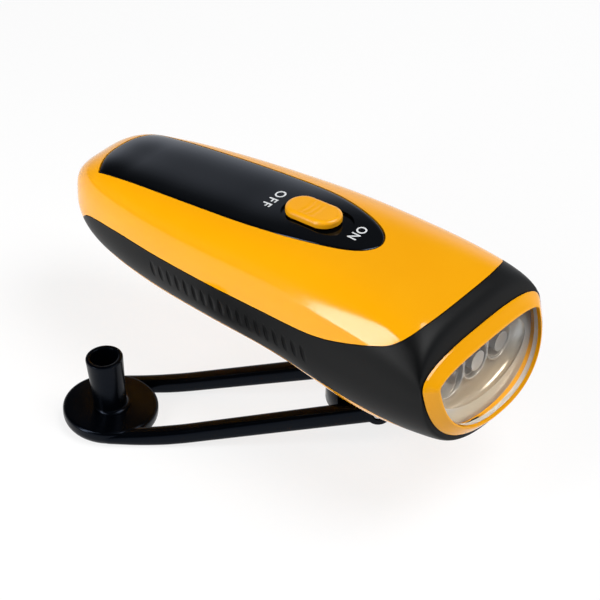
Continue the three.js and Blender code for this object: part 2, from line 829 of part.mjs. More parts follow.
// Gear plate: carries the upper ends of the axles, and a low ring that the generator sits over
function gearPlate() {
  const shape = new THREE.Shape([
    new THREE.Vector2(rotorX - plateTailReach, -plateTailHalf),
    new THREE.Vector2(idlerOneX + plateHeadReach + screwWall, -plateHeadHalf),
    new THREE.Vector2(idlerOneX + plateHeadReach + screwWall, plateHeadHalf),
    new THREE.Vector2(rotorX - plateTailReach, plateTailHalf),
  ]);
  const seat = statorRadius - statorWall - fitGap;
  const ring = rod(seat, plateLow, plateHigh + collarHeight, rotorX, 0, 32).subtract(
    rod(seat - collarWidth, plateLow - fitGap, farAbove, rotorX, 0, 32),
  );
  let plate = slab(shape, plateLow, plateHigh).add(ring);
  for (const x of [idlerOneX, idlerTwoX, rotorX]) {
    plate = plate.subtract(rod(axleHole, plateLow - fitGap, plateHigh + fitGap, x));
  }
  for (const [x, y] of plateScrewSpots) {
    plate = plate.subtract(
      rod(postScrewRadius + fitGap, plateLow - fitGap, plateHigh + fitGap, x, y),
    );
  }
  return plate;
}

const axle = (x, level) =>
  rod(axleRadius, level - fitGap - axleFoot, plateHigh, x, 0, 16);

// An idler: a pinion, the wheel above it and a hub up to the gear plate, on a running bore
function idler(low, wheelLow) {
  return pinion(low, wheelLow)
    .add(wheel(idlerTeeth, 0, wheelLow, wheelLow + wheelFace))
    .add(rod(idlerHubRadius, wheelLow, plateLow - fitGap, 0, 0, 16))
    .subtract(rod(axleHole, low - fitGap, plateLow, 0, 0, 16));
}

const ringOf = (inner, outer, low, high, x = 0, y = 0, sides = 32) =>
  rod(outer, low, high, x, y, sides).subtract(
    rod(inner, low - fitGap, high + fitGap, x, y, sides),
  );

// Generator: an inverted steel can, a coil inside it, and a magnet on the rotor's shaft
const canLow = plateHigh + fitGap;
const canHigh = canLow + statorHeight;
function statorCore() {
  return rod(statorRadius, canLow, canHigh, rotorX, 0, 36)
    .subtract(rod(statorRadius - statorWall, canLow - fitGap, canHigh - statorWall, rotorX, 0, 36))
    .subtract(rod(axleHole, canLow, canHigh + fitGap, rotorX, 0, 16));
}

function statorCoil() {
  const outer = statorRadius - statorWall - fitGap;
  const low = plateHigh + collarHeight + fitGap;
  return ringOf(outer - coilWidth, outer, low, low + coilHeight, rotorX);
}

const rotorShaft = () => rod(axleRadius, levelC - fitGap - axleFoot, canHigh, 0, 0, 16);
const rotorPinion = () =>
  pinion(levelC, levelC + wheelFace).subtract(rod(axleHole, levelC - fitGap, plateLow, 0, 0, 16));
const rotorMagnet = () =>
  ringOf(axleHole, magnetRadius, plateHigh + collarHeight, plateHigh + collarHeight + magnetHeight);

const batteryCell = (i) => {
  const back = cellBackX + i * (cellLength + fitGap);
  return rodAlongX(cellRadius, back, back + cellLength, 0, cellZ, 24);
};
const batteryWrap = () =>
  rodAlongX(wrapRadius, cellBackX, cellBackX + batteryLength, 0, cellZ, 28).subtract(
    rodAlongX(cellRadius + fitGap, 0, hubX, 0, cellZ, 28),
  );

// A flat two-core lead swept along a route
function lead(points) {
  const outline = new THREE.Shape();
  outline.absellipse(0, 0, leadHalfWidth, leadHalfThickness, 0, 2 * Math.PI);
  const route = new THREE.CatmullRomCurve3(points.map((p) => new THREE.Vector3(...p)));
  return toSolid(
    new THREE.ExtrudeGeometry(outline, { steps: 8, curveSegments: 3, extrudePath: route }),
  );
}

const leadHeight = canHigh + fitGap + leadHalfWidth;
const boardEdgeX = buttonX - boardBack - fitGap;
const batteryLead = () =>
  lead([
    [cellBackX + batteryLength + fitGap, leadHalfWidth, cellZ + cellRadius / 2],
    [rotorX - statorRadius, leadHalfWidth, leadHeight],
    [rotorX, leadHalfWidth, leadHeight],
    [boardEdgeX, 2 * leadHalfWidth, boardZ + leadHalfThickness],
  ]);
const generatorLead = () =>
  lead([
    [rotorX + statorRadius / 2, -statorRadius / 2, leadHeight],
    [rotorX + statorRadius, -statorRadius / 2, leadHeight],
    [boardEdgeX, -statorRadius / 2, boardZ + leadHalfThickness],
  ]);
const lampLead = () =>
  lead([
    [buttonX + boardFront + fitGap, 0, boardZ + leadHalfThickness],
    [mix(buttonX + boardFront, lampBoardX, 0.5), 0, boardZ],
    [lampBoardX - 2 * leadHalfWidth, 0, lampBoardTop],
    [lampBoardX - fitGap, 0, lampBoardTop - leadHalfWidth],
  ]);

// A slotted screw: its head rests on z = 0 and its shank reaches down
function screw(radius, headRadius, length) {
  const profile = [
    [0, -length], [radius, -length], [radius, 0], [headRadius, 0],
    [headRadius, screwHeadHeight], [0, screwHeadHeight],
  ];
  return turned(profile, 0, 10).subtract(
    block(
      [-headRadius - fitGap, headRadius + fitGap],
      [-slotWidth / 2, slotWidth / 2],
      [screwHeadHeight - slotDepth, screwHeadHeight + fitGap],
    ),
  );
}

function placedScrew(name, solid, x, y, z, upward) {
  const mesh = piece(name, solid, finish.steel);
  mesh.position.set(x, y, z);
  if (upward) mesh.rotation.x = Math.PI;
  return mesh;
}

// Crank, drawn with the arm along +X and the hub's axis at the origin
const crankTurn = THREE.MathUtils.degToRad(180 + armTurn);
const hubTop = -bossDrop - fitGap;
const hubLow = hubTop - hubHeight;
const pivotZ = -bossDrop - pivotDrop;
const squareTop = levelA + wheelFace - fitGap;

function crankHub() {
  const tongue = block(
    [-hubRadius - fitGap, hubRadius + fitGap],
    [-hubHalfTongue, hubHalfTongue],
    [hubLow - fitGap, hubTop + fitGap],
  );
  return rod(hubRadius, hubLow, hubTop, 0, 0, 32)
    .intersect(tongue)
    .add(rod(shaftRadius, hubLow, levelA - fitGap, 0, 0, 20))
    .add(block([-squareHalf, squareHalf], [-squareHalf, squareHalf], [hubLow, squareTop]))
    .subtract(rod(postScrewRadius + fitGap, squareTop - postScrewDepth - wheelFace, farAbove))
    .subtract(rodAlongY(pinRadius + fitGap, -hubRadius, hubRadius, -pivotBack, pivotZ, 16));
}

function driveGear() {
  const half = squareHalf + fitGap;
  return wheel(driveTeeth, -crankTurn, levelA, levelA + wheelFace).subtract(
    block([-half, half], [-half, half], [levelA - fitGap, levelB]),
  );
}

const washerLow = levelA + wheelFace + fitGap;
const gearWasher = () =>
  ringOf(postScrewRadius + fitGap, washerRadius, washerLow, washerLow + washerThickness, 0, 0, 24);

const forkHalf = hubHalfTongue + fitGap;
const pinReach = forkHalf + barWidth - fitGap;
const hingePin = () => rodAlongY(pinRadius, -pinReach, pinReach, -pivotBack, pivotZ, 16);

// One bar of the fork, rounded in section: level beside the disc, then bending up to the ear
const barSteps = 14;
const barSides = 12;
const barPower = 4;
const discTop = hubTop - armDrop;
const discLow = discTop - discThickness;
function barClimb(x) {
  const way = Math.max(0, armReach - x - barLevelReach);
  const bend = Math.min(way, barBendReach);
  return barSlope * (bend ** 2 / (2 * barBendReach) + way - bend);
}

function barRing(x, middle) {
  const climbShare = barClimb(x) / barClimb(-pivotBack);
  const height = mix(discThickness, barHeight, climbShare);
  return Array.from({ length: barSides }, (_, i) => {
    const [across, along] = superCircle((i / barSides) * 2 * Math.PI, barPower);
    const z = (discTop + discLow) / 2 + barClimb(x);
    return new THREE.Vector3(x, middle + (across * barWidth) / 2, z + (along * height) / 2);
  });
}

function bar(side) {
  const flush = discRadius - barWidth / 2;
  const rings = [];
  for (let step = 0; step <= barSteps; step++) {
    const share = step / barSteps;
    const middle = side * mix(forkHalf + barWidth / 2, flush + barFlare, share);
    rings.push(barRing(mix(-pivotBack, armReach, share), middle));
  }
  rings.push(barRing(armReach + barTail, side * (flush - 2 * barFlare)));
  const ear = [side * forkHalf, side * (forkHalf + barWidth)].sort((a, b) => a - b);
  return skinOver(rings).add(rodAlongY(earRadius, ...ear, -pivotBack, pivotZ, 24));
}

// The disc's underside is rounded to a smaller foot, and the hollow post leans away from the hub
const footTurnShares = [0, 0.25, 0.5, 0.75, 1];
const filletShare = 0.7;
const leaning = (profile) =>
  turned(profile, 0, 28).rotate([0, postLean, 0]).translate([armReach, 0, discTop]);

function crankArm() {
  const foot = footTurnShares.map((share) => [
    mix(discFootRadius, discRadius, Math.sin((share * Math.PI) / 2)),
    discLow + discFootRound * (1 - Math.cos((share * Math.PI) / 2)),
  ]);
  const disc = turned([
    [0, discLow], ...foot, [discRadius, discTop - discEdgeRound],
    [discRadius - discEdgeRound, discTop], [0, discTop],
  ], armReach, 36);
  const post = leaning([
    [0, -discEdgeRound], [postFilletRadius, -discEdgeRound], [postFilletRadius, 0],
    [mix(postFilletRadius, postBaseRadius, filletShare), postFilletHeight / 2],
    [postBaseRadius, postFilletHeight], [postRadius, postHeight - discEdgeRound],
    [postRadius - discEdgeRound, postHeight], [0, postHeight],
  ]);
  const bore = leaning([
    [0, discEdgeRound], [postBaseRadius - postWall, discEdgeRound],
    [postRadius - postWall, postHeight + fitGap], [0, postHeight + fitGap],
  ]);
  return bar(1)
    .add(bar(-1))
    .add(disc)
    .add(post)
    .subtract(bore)
    .subtract(rodAlongY(pinRadius + fitGap, -wideAcross, wideAcross, -pivotBack, pivotZ, 16));
}

function crank() {
  const group = new THREE.Group();
  group.add(
    piece("crank_hub", crankHub(), finish.black),
    piece("crank_arm", crankArm(), finish.black),
    piece("hinge_pin", hingePin(), finish.steel),
    piece("drive_gear", driveGear(), finish.nylon),
    piece("gear_washer", gearWasher(), finish.steel),
    placedScrew(
      "gear_screw",
      screw(postScrewRadius, postScrewHead, postScrewDepth + wheelFace),
      0,
      0,
      washerLow + washerThickness + fitGap,
      false,
    ),
  );
  group.position.x = hubX;
  group.rotation.z = crankTurn;
  return group;
}

// Spinning pieces, each group on its own axle
function spinning(x, ...meshes) {
  const group = new THREE.Group();
  group.add(...meshes);
  group.position.x = x;
  return group;
}

function casing() {
  return [
    piece("upper_shell", upperShell(), finish.yellow),
    piece("lower_shell", lowerShell(), finish.yellow),
    piece("grip_collar", gripCollar(), finish.grip),
    piece("top_panel", topPanel(), finish.black),
    piece("switch_button", switchButton(), finish.yellow),
    piece("bezel", bezelRing(), finish.yellow),
    piece("lens", lensPlate(), finish.clear),
    piece("reflector", reflector(), finish.silver),
  ];
}

function electrics() {
  const lamps = lampRows.map((y, i) => piece(`led_${i + 1}`, lamp(y), finish.clear));
  const cells = Array.from({ length: cellCount }, (_, i) =>
    piece(`battery_cell_${i + 1}`, batteryCell(i), finish.steel),
  );
  return [
    ...lamps,
    ...cells,
    piece("battery_wrap", batteryWrap(), finish.wrap),
    piece("led_board", lampBoard(), finish.board),
    piece("control_board", controlBoard(), finish.board),
    piece("switch_base", switchBase(), finish.steel),
    piece("switch_lever", switchLever(), finish.nylon),
    piece("stator_core", statorCore(), finish.steel),
    piece("stator_coil", statorCoil(), finish.copper),
    piece("battery_lead", batteryLead(), finish.wrap),
    piece("generator_lead", generatorLead(), finish.wrap),
    piece("lamp_lead", lampLead(), finish.wrap),
  ];
}

function gearTrain() {
  return [
    piece("gear_plate", gearPlate(), finish.nylon),
    piece("idler_axle_1", axle(idlerOneX, levelA), finish.steel),
    piece("idler_axle_2", axle(idlerTwoX, levelB), finish.steel),
    spinning(idlerOneX, piece("idler_gear_1", idler(levelA, levelB), finish.nylon)),
    spinning(idlerTwoX, piece("idler_gear_2", idler(levelB, levelC), finish.nylon)),
    spinning(
      rotorX,
      piece("rotor_shaft", rotorShaft(), finish.steel),
      piece("rotor_pinion", rotorPinion(), finish.nylon),
      piece("rotor_magnet", rotorMagnet(), finish.magnet),
    ),
  ];
}

function screws() {
  const small = screw(postScrewRadius, postScrewHead, postScrewDepth + fitGap);
  const large = screw(caseScrewRadius, caseScrewHead, caseMeetZ + caseScrewGrip - caseHeadZ - wall);
  return [
    ...plateScrewSpots.map(([x, y], i) =>
      placedScrew(`plate_screw_${i + 1}`, small, x, y, plateHigh + fitGap, false),
    ),
    ...boardScrewSpots.map((x, i) =>
      placedScrew(`board_screw_${i + 1}`, small, x, 0, boardZ - fitGap, true),
    ),
    ...caseScrewSpots.map(([x, y], i) =>
      placedScrew(`case_screw_${i + 1}`, large, x, y, caseHeadZ - fitGap, true),
    ),
  ];
}

const root = new THREE.Group();
root.add(...casing(), ...electrics(), ...gearTrain(), ...screws(), crank());
root.updateMatrixWorld(true);
const box = new THREE.Box3().setFromObject(root, true);
const middle = box.getCenter(new THREE.Vector3());
root.position.set(-middle.x, -middle.y, -box.min.z);

export default root;
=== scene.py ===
import json
import math

import bmesh
import bpy
from mathutils import Matrix, Vector
from mathutils.bvhtree import BVHTree


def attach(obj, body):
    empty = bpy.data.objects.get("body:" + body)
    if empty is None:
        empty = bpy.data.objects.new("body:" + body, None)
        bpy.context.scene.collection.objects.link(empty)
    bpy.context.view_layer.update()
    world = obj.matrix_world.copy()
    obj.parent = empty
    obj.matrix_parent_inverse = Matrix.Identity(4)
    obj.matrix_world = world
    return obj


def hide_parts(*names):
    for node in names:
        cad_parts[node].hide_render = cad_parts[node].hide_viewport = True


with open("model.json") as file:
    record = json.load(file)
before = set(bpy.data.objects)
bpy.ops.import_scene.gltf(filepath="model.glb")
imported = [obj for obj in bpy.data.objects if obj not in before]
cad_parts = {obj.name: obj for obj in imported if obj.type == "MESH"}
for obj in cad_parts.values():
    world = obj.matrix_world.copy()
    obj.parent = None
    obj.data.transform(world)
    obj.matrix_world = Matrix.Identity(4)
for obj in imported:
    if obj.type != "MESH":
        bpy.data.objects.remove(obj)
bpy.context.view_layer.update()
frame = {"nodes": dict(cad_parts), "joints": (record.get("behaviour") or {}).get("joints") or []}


# Lower shell: the yellow tray of the case with the round boss that carries the crank.
# Injection moulded gloss ABS, about 2 mm thick, screwed to the upper shell from below.
# Sizes are millimetres from the body's tail end: x to the lens, y to the far side, z up.
MM = 0.001
hub_x, pivot_z = 100, -27.3
hub_joint = next(j for j in frame["joints"] if j["name"] == "crank_turn")
tail = Vector(hub_joint["pos_m"]) - Vector((hub_x, 0, pivot_z)) * MM


def blend(low, high, share):
    return low + (high - low) * share


# A smooth curve through evenly spaced values, read at a share of its length
def curve_through(values):
    last = len(values) - 1

    def value(share):
        place = share * last
        i = min(int(place), last)
        w = place - i
        before, at = values[max(i - 1, 0)], values[i]
        after, beyond = values[min(i + 1, last)], values[min(i + 2, last)]
        rise_in, rise_out = (after - before) / 2, (beyond - at) / 2
        cubic = 2 * at - 2 * after + rise_in + rise_out
        square = 3 * after - 3 * at - 2 * rise_in - rise_out
        return cubic * w**3 + square * w**2 + rise_in * w + at

    return value


# The shares are of the largest half width, rise and drop, at even steps from tail to nose
body_reach, body_half_width, body_rise, body_drop = 137.2, 24.8, 22.0, 17.0
width_share = curve_through([0, 0.356, 0.596, 0.755, 0.869, 0.947, 0.99, 1.039, 1.08])
rise_share = curve_through([0, 0.327, 0.582, 0.681, 0.771, 0.871, 0.969, 0.971, 0.923])
drop_share = curve_through([0, 0.463, 0.776, 0.956, 1.017, 0.983, 0.975, 1.2, 0.953])
tail_sag = 0.96
# How square the section is above and below its widest line, on the body and at the nose
upper_power, lower_power = (3.6, 2.8), (2.6, 2.3)
nose_start, nose_length, nose_bend, nose_grow = 0.81, 0.19, 4, 4.5
# The lens opening leans back. A ring round it grows less in height than in width
opening_half_width, opening_top, opening_bottom, opening_middle = 22.3, 8.4, 12.0, 5.3
top_follow, bottom_follow = 0.76, 0.66
face_lean = -0.28
seam = 0.3
grip_depth = 1.2
shell_wall = 2.2


def opening_size(grow):
    top, bottom = opening_top + top_follow * grow, opening_bottom + bottom_follow * grow
    return opening_half_width + grow, top, bottom


def squared_circle(turn, power):
    c, s = math.cos(turn), math.sin(turn)
    reach = (abs(c) ** power + abs(s) ** power) ** (-1 / power)
    return c * reach, s * reach


# A point of the body's skin, u from tail to nose, that blends into the opening's outline
def skin_point(u, turn, inset):
    late = max(0.0, min(1.0, (u - nose_start) / nose_length))
    nose = 1 - (1 - late**nose_bend) ** (1 / nose_bend)
    nose_half, nose_top, nose_bottom = opening_size(nose_grow - inset)
    half = blend(body_half_width * width_share(u) - inset, nose_half, nose)
    top = blend(body_rise * rise_share(u) - inset, nose_top, nose)
    bottom = blend(body_drop * drop_share(u) - inset, nose_bottom, nose)
    wide = opening_middle * nose
    upper = math.sin(turn) >= 0
    power = blend(*(upper_power if upper else lower_power), nose)
    across, along = squared_circle(turn, power)
    z = wide - tail_sag * (1 - u) ** 2 + along * (top - wide if upper else bottom + wide)
    x = body_reach * (1 - math.cos(u * math.pi / 2)) + face_lean * u**3 * z
    return Vector((x, half * across, z))


weld = 0.0005


# A grid laid out by place(share, share). Points that meet are welded, which closes seams
def mapped_grid(columns, rows, place):
    made = bmesh.new()
    bmesh.ops.create_grid(made, x_segments=columns, y_segments=rows, size=0.5)
    for vert in made.verts:
        vert.co = place(vert.co.x + 0.5, vert.co.y + 0.5)
    bmesh.ops.remove_doubles(made, verts=made.verts, dist=weld)
    bmesh.ops.recalc_face_normals(made, faces=made.faces)
    return made


tail_wall_share, row_crowding = 1.5, 1.5
inner_grid = {"columns": 96, "rows": 60}
past_nose = 6


# The whole closed skin, some way in from the outside, with its rows crowded at the nose
def body_skin(inset, overrun=0.0, columns=144, rows=120):
    first = math.acos(1 - tail_wall_share * inset / body_reach) / (math.pi / 2)
    nose_middle = Vector((body_reach + face_lean * opening_middle + overrun, 0, opening_middle))

    def place(round_share, along_share):
        row = round(along_share * (rows + 3))
        if row == 0:
            rim = skin_point(first, 0, inset)
            return Vector((rim.x, 0, rim.z))
        if row == rows + 3:
            return nose_middle
        u = blend(first, 1, 1 - (1 - min(1, (row - 1) / rows)) ** row_crowding)
        point = skin_point(u, round_share * math.tau, inset)
        if row == rows + 2:
            point.x += overrun
        return point

    return mapped_grid(columns, rows + 3, place)


def piece_from(name, shape, lift=True):
    mesh = bpy.data.meshes.new(name)
    shape.to_mesh(mesh)
    shape.free()
    if lift:
        mesh.transform(Matrix.Translation(tail) @ Matrix.Scale(MM, 4))
    made = bpy.data.objects.new(name, mesh)
    bpy.context.collection.objects.link(made)
    return made


# Cuts one closed shape with another, or joins the two
def fit(made, tool_shape, how):
    tool = piece_from("tool", tool_shape)
    step = made.modifiers.new("fit", "BOOLEAN")
    step.operation, step.solver, step.object = how, "EXACT", tool
    shaped = bpy.data.meshes.new_from_object(
        made.evaluated_get(bpy.context.evaluated_depsgraph_get())
    )
    made.modifiers.clear()
    made.data = shaped
    bpy.data.objects.remove(tool)


def side_prism(points, half):
    made = bmesh.new()
    face = made.faces.new([made.verts.new((x, -half, z)) for x, z in points])
    pushed = bmesh.ops.extrude_face_region(made, geom=[face])
    verts = [v for v in pushed["geom"] if isinstance(v, bmesh.types.BMVert)]
    bmesh.ops.translate(made, verts=verts, vec=(0, 2 * half, 0))
    bmesh.ops.recalc_face_normals(made, faces=made.faces)
    return made


def smooth_line(points, steps=8):
    xs, zs = (curve_through([p[k] for p in points]) for k in (0, 1))
    count = (len(points) - 1) * steps
    return [(xs(i / count), zs(i / count)) for i in range(count + 1)]


# Seen from the side: the band's lower edge, and under the band the line where the shells meet
def on_body(shares, lift=0):
    return [(x * body_reach, z * body_rise + lift) for x, z in shares]


band_tip = (6.0, -11.0)
lower_edge = [
    (0.15, -0.44), (0.3, -0.448), (0.45, -0.425), (0.62, -0.405), (0.72, -0.45), (0.88, -0.49),
    (0.94, -0.53), (0.968, -0.6), (0.982, -0.75), (0.986, -1.3),
]
lower_line = smooth_line([band_tip] + on_body(lower_edge))
split_line = [band_tip] + on_body([(0.15, -0.525), (0.45, -0.475), (1.06, -0.51)], 3)
cut_tail, cut_low, cut_high, cut_half = -6, -36, 40, 32


def region_below(line, shift):
    high = [(x, z + shift) for x, z in line]
    end = high[-1][0]
    return side_prism(
        [(cut_tail, cut_low), (end, cut_low), *reversed(high), (cut_tail, high[0][1])], cut_half
    )


def region_above(line, shift):
    low = [(x, z + shift) for x, z in line]
    end = low[-1][0]
    return side_prism(
        [(cut_tail, low[0][1]), *low, (end, cut_high), (cut_tail, cut_high)], cut_half
    )


# A profile of (radius, height) points spun round the upright axis
def turned_shape(profile, middle, sides=96):
    made = bmesh.new()
    verts = [made.verts.new((r, 0, z)) for r, z in profile]
    edges = [made.edges.new(pair) for pair in zip(verts, verts[1:])]
    bmesh.ops.spin(
        made, geom=verts + edges, cent=(0, 0, 0), axis=(0, 0, 1), angle=math.tau,
        steps=sides, use_merge=True, use_duplicate=False,
    )
    bmesh.ops.remove_doubles(made, verts=made.verts, dist=weld)
    bmesh.ops.recalc_face_normals(made, faces=made.faces)
    bmesh.ops.translate(made, verts=made.verts, vec=middle)
    return made


def rounded_smooth(made, degrees=32):
    made.data.shade_smooth()
    made.data.set_sharp_from_angle(angle=math.radians(degrees))


def linear(hex_colour):
    parts = [int(hex_colour[i : i + 2], 16) / 255 for i in (1, 3, 5)]
    return [p / 12.92 if p <= 0.04045 else ((p + 0.055) / 1.055) ** 2.4 for p in parts] + [1]


def add_node(tree, kind, settings=None, links=None):
    made = tree.nodes.new("ShaderNode" + kind)
    for name, value in (settings or {}).items():
        if isinstance(name, str) and hasattr(made, name):
            setattr(made, name, value)
        else:
            made.inputs[name].default_value = value
    for name, source in (links or {}).items():
        tree.links.new(source, made.inputs[name])
    return made


def new_finish(name):
    made = bpy.data.materials.new(name)
    made.use_nodes = True
    made.node_tree.nodes.clear()
    return made, made.node_tree


# A finish in two shades of one pattern, with a relief cut by the same or a finer pattern.
# A pattern is a kind of texture and its settings, and the surface goes to the shader's sockets.
def two_shade_finish(name, low, high, pattern, surface, strength=0, depth=0, relief=None):
    made, tree = new_finish(name)
    place = add_node(tree, "TexCoord").outputs["Object"]

    def figure(kind, settings):
        drawn = add_node(tree, kind, settings, {"Vector": place})
        return drawn.outputs["Distance" if kind == "TexVoronoi" else "Fac"]

    shade = figure(*pattern)
    tint = add_node(
        tree, "Mix", {"data_type": "RGBA", 6: linear(low), 7: linear(high)}, {0: shade}
    )
    links = {"Base Color": tint.outputs[2]}
    if strength:
        bump = add_node(
            tree, "Bump", {"Strength": strength, "Distance": depth},
            {"Height": figure(*relief) if relief else shade},
        )
        links["Normal"] = bump.outputs["Normal"]
    shader = add_node(tree, "BsdfPrincipled", surface, links)
    add_node(tree, "OutputMaterial", None, {"Surface": shader.outputs["BSDF"]})
    return made


# Gloss ABS, injection moulded in a polished tool: an even deep yellow with a faint flow
# mottle a few centimetres wide and an orange peel of about 1.5 mm that softens reflections.
def moulded_yellow_abs(name, roughness):
    return two_shade_finish(
        name, "#F0A102", "#F3A90C", ("TexNoise", {"Scale": 45, "Detail": 2}),
        {"Roughness": roughness, "IOR": 1.43}, 0.04, 0.0002,
        ("TexNoise", {"Scale": 650, "Detail": 1}),
    )


shell_yellow = moulded_yellow_abs("yellow gloss ABS", 0.1)

lower_shell = piece_from("lower_case", body_skin(0))
fit(lower_shell, region_below(lower_line, -seam / 2), "INTERSECT")
fit(lower_shell, body_skin(grip_depth + seam, **inner_grid), "UNION")
fit(lower_shell, region_below(split_line, -seam / 2), "INTERSECT")
fit(lower_shell, body_skin(shell_wall, overrun=past_nose, **inner_grid), "DIFFERENCE")
boss = [(0, -23.7), (11.1, -23.7), (11.45, -23.6), (11.7, -23.2), (11.7, -13), (0, -13)]
fit(lower_shell, turned_shape(boss, (hub_x, 0, 0)), "UNION")
shaft_bore = [(0, -30), (4.3, -30), (4.3, 0), (0, 0)]
fit(lower_shell, turned_shape(shaft_bore, (hub_x, 0, 0), 48), "DIFFERENCE")
screw_recess = [(0, -30), (2.5, -30), (2.5, -8), (0, -8)]
for x, y in [(24, 11.532), (24, -11.532), (113, 17.112), (113, -17.112)]:
    fit(lower_shell, turned_shape(screw_recess, (x, y, 0), 32), "DIFFERENCE")
rounded_smooth(lower_shell)
lower_shell.data.materials.append(shell_yellow)
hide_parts("lower_shell")
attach(lower_shell, "torch_body")


# Upper shell: the yellow cover of the case, with a seat on top for the black panel.
# Moulded in the same gloss ABS and stopped short of the lens frame by the grip band.
# The band's upper edge, which ends in a straight cut over the nose
upper_edge = [
    (0.06, -0.28), (0.09, -0.1), (0.128, -0.017), (0.17, 0.03), (0.21, 0.062), (0.25, 0.078),
    (0.3, 0.094), (0.37, 0.118), (0.42, 0.134), (0.613, 0.195), (0.673, 0.217), (0.716, 0.245),
    (0.758, 0.301), (0.8, 0.386), (0.838, 0.474), (0.874, 0.561), (0.895, 0.615), (0.911, 0.675),
    (0.925, 0.744), (0.9325, 0.79), (0.938, 0.815), (0.944, 0.84),
]
upper_line = smooth_line([band_tip] + on_body(upper_edge)) + on_body([(0.947, 1.4)])
panel_tail, panel_tip, panel_half_width = 10.3, 102.0, 13.0
panel_spine = (24, 90)
# Along as a share of the panel's length, across as a share of its half width
panel_side = [
    (0.045, 0.94), (0.19, 0.97), (0.35, 0.995), (0.54, 1), (0.673, 0.965), (0.782, 0.88),
    (0.9, 0.66), (0.973, 0.37),
]


# The panel's tip is rounded by the curve, and its tail end is one shallow arc
def panel_outline(grow, steps, tail_steps=24):
    start, end = panel_tail - grow, panel_tip + grow
    side = [
        (blend(start, end, along), panel_half_width * across + grow) for along, across in panel_side
    ]
    round_tip = [(x, -y) for x, y in side] + [(end, 0)] + side[::-1]
    corner_x, corner_y = side[0]
    arc = []
    for i in range(1, tail_steps):
        t = i / tail_steps
        bow = (1 - t) ** 2 * corner_x + 2 * t * (1 - t) * (2 * start - corner_x) + t**2 * corner_x
        arc.append((bow, corner_y * (1 - 2 * t)))
    return smooth_line(round_tip, steps) + arc


outer_skin = body_skin(0)
skin_tree = BVHTree.FromBMesh(outer_skin)
outer_skin.free()
outside = 60


def skin_height(x, y, sink=0.0):
    return skin_tree.ray_cast(Vector((x, y, outside)), Vector((0, 0, -1)))[0].z - sink


# A flat outline filled with rings that close in on a middle line, then laid on a height
def filled_outline(outline, insets, middle_line, height):
    count = len(outline)
    low, high = middle_line

    def place(round_share, in_share):
        x, y = outline[round(round_share * count) % count]
        ring = round(in_share * len(insets))
        centre = max(low, min(high, x))
        far = math.hypot(x - centre, y)
        keep = 0 if ring == len(insets) else max(0.0, 1 - insets[ring] / far)
        px, py = centre + (x - centre) * keep, y * keep
        return Vector((px, py, height(px, py, min(insets[ring] if keep else far, far))))

    return mapped_grid(count, len(insets), place)


def thickened(shape, drop):
    pushed = bmesh.ops.extrude_face_region(shape, geom=shape.faces[:], use_keep_orig=True)
    verts = [v for v in pushed["geom"] if isinstance(v, bmesh.types.BMVert)]
    bmesh.ops.translate(shape, verts=verts, vec=(0, 0, drop))
    bmesh.ops.recalc_face_normals(shape, faces=shape.faces)
    return shape


seat_depth, seat_clear = 1.3, 20


def panel_cutter():
    insets = [1.0 * i for i in range(13)]
    sheet = filled_outline(
        panel_outline(seam, 4), insets, panel_spine, lambda x, y, d: skin_height(x, y, seat_depth)
    )
    return thickened(sheet, seat_clear)


upper_shell = piece_from("upper_case", body_skin(0))
fit(upper_shell, region_above(upper_line, seam / 2), "INTERSECT")
fit(upper_shell, body_skin(grip_depth + seam, **inner_grid), "UNION")
fit(upper_shell, region_above(split_line, seam / 2), "INTERSECT")
fit(upper_shell, body_skin(shell_wall, overrun=past_nose, **inner_grid), "DIFFERENCE")
fit(upper_shell, panel_cutter(), "DIFFERENCE")
rounded_smooth(upper_shell)
upper_shell.data.materials.append(shell_yellow)
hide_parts("upper_shell")
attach(upper_shell, "torch_body")


# Grip band: one black collar round the nose whose two tongues run back along the sides.
# A soft elastomer moulded over the shells, satin, with slanting finger ribs on each side.
grip_band = piece_from("grip_band", body_skin(0))
fit(grip_band, body_skin(grip_depth, overrun=past_nose, **inner_grid), "DIFFERENCE")
fit(grip_band, region_above(upper_line, -seam / 2), "DIFFERENCE")
fit(grip_band, region_below(lower_line, seam / 2), "DIFFERENCE")

# The ribs are what slanting thumb-nail scoops leave standing, deepest at their tail side
rib_count, first_rib, last_rib = 18, (42.8, -3.2), (97.6, -2.3)
scoop_size, scoop_out, scoop_yaw, scoop_slant = (1.5, 0.42, 3.8), 0.3, 22, -20
scoops = bmesh.new()
for side in (-1, 1):
    for i in range(rib_count):
        x, z = (blend(a, b, i / (rib_count - 1)) for a, b in zip(first_rib, last_rib))
        skin = skin_tree.ray_cast(Vector((x, side * outside, z)), Vector((0, -side, 0)))[0]
        scoop = bmesh.ops.create_uvsphere(scoops, u_segments=20, v_segments=14, radius=1)["verts"]
        bmesh.ops.scale(scoops, verts=scoop, vec=scoop_size)
        for turn, axis in ((side * scoop_yaw, "Z"), (scoop_slant, "Y")):
            matrix = Matrix.Rotation(math.radians(turn), 3, axis)
            bmesh.ops.rotate(scoops, verts=scoop, cent=(0, 0, 0), matrix=matrix)
        bmesh.ops.translate(scoops, verts=scoop, vec=(x, skin.y + side * scoop_out, z))
fit(grip_band, scoops, "DIFFERENCE")
rounded_smooth(grip_band)


# Satin elastomer from a fine-etched tool: near black, grain about 0.4 mm, soft wide sheen.
def satin_elastomer(name):
    return two_shade_finish(
        name, "#060708", "#0B0C0D", ("TexNoise", {"Scale": 60, "Detail": 3}),
        {"Roughness": 0.42, "IOR": 1.22}, 0.2, 0.0001, ("TexNoise", {"Scale": 2500, "Detail": 2}),
    )


grip_band.data.materials.append(satin_elastomer("satin black elastomer"))
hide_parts("grip_collar")
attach(grip_band, "torch_body")


# Top panel: a thin inlaid plate of piano-black ABS with a shallow dish for the switch.
# It drops into its seat in the upper shell and leaves a fine dark line all round.
panel_round, panel_thickness = 0.4, 1


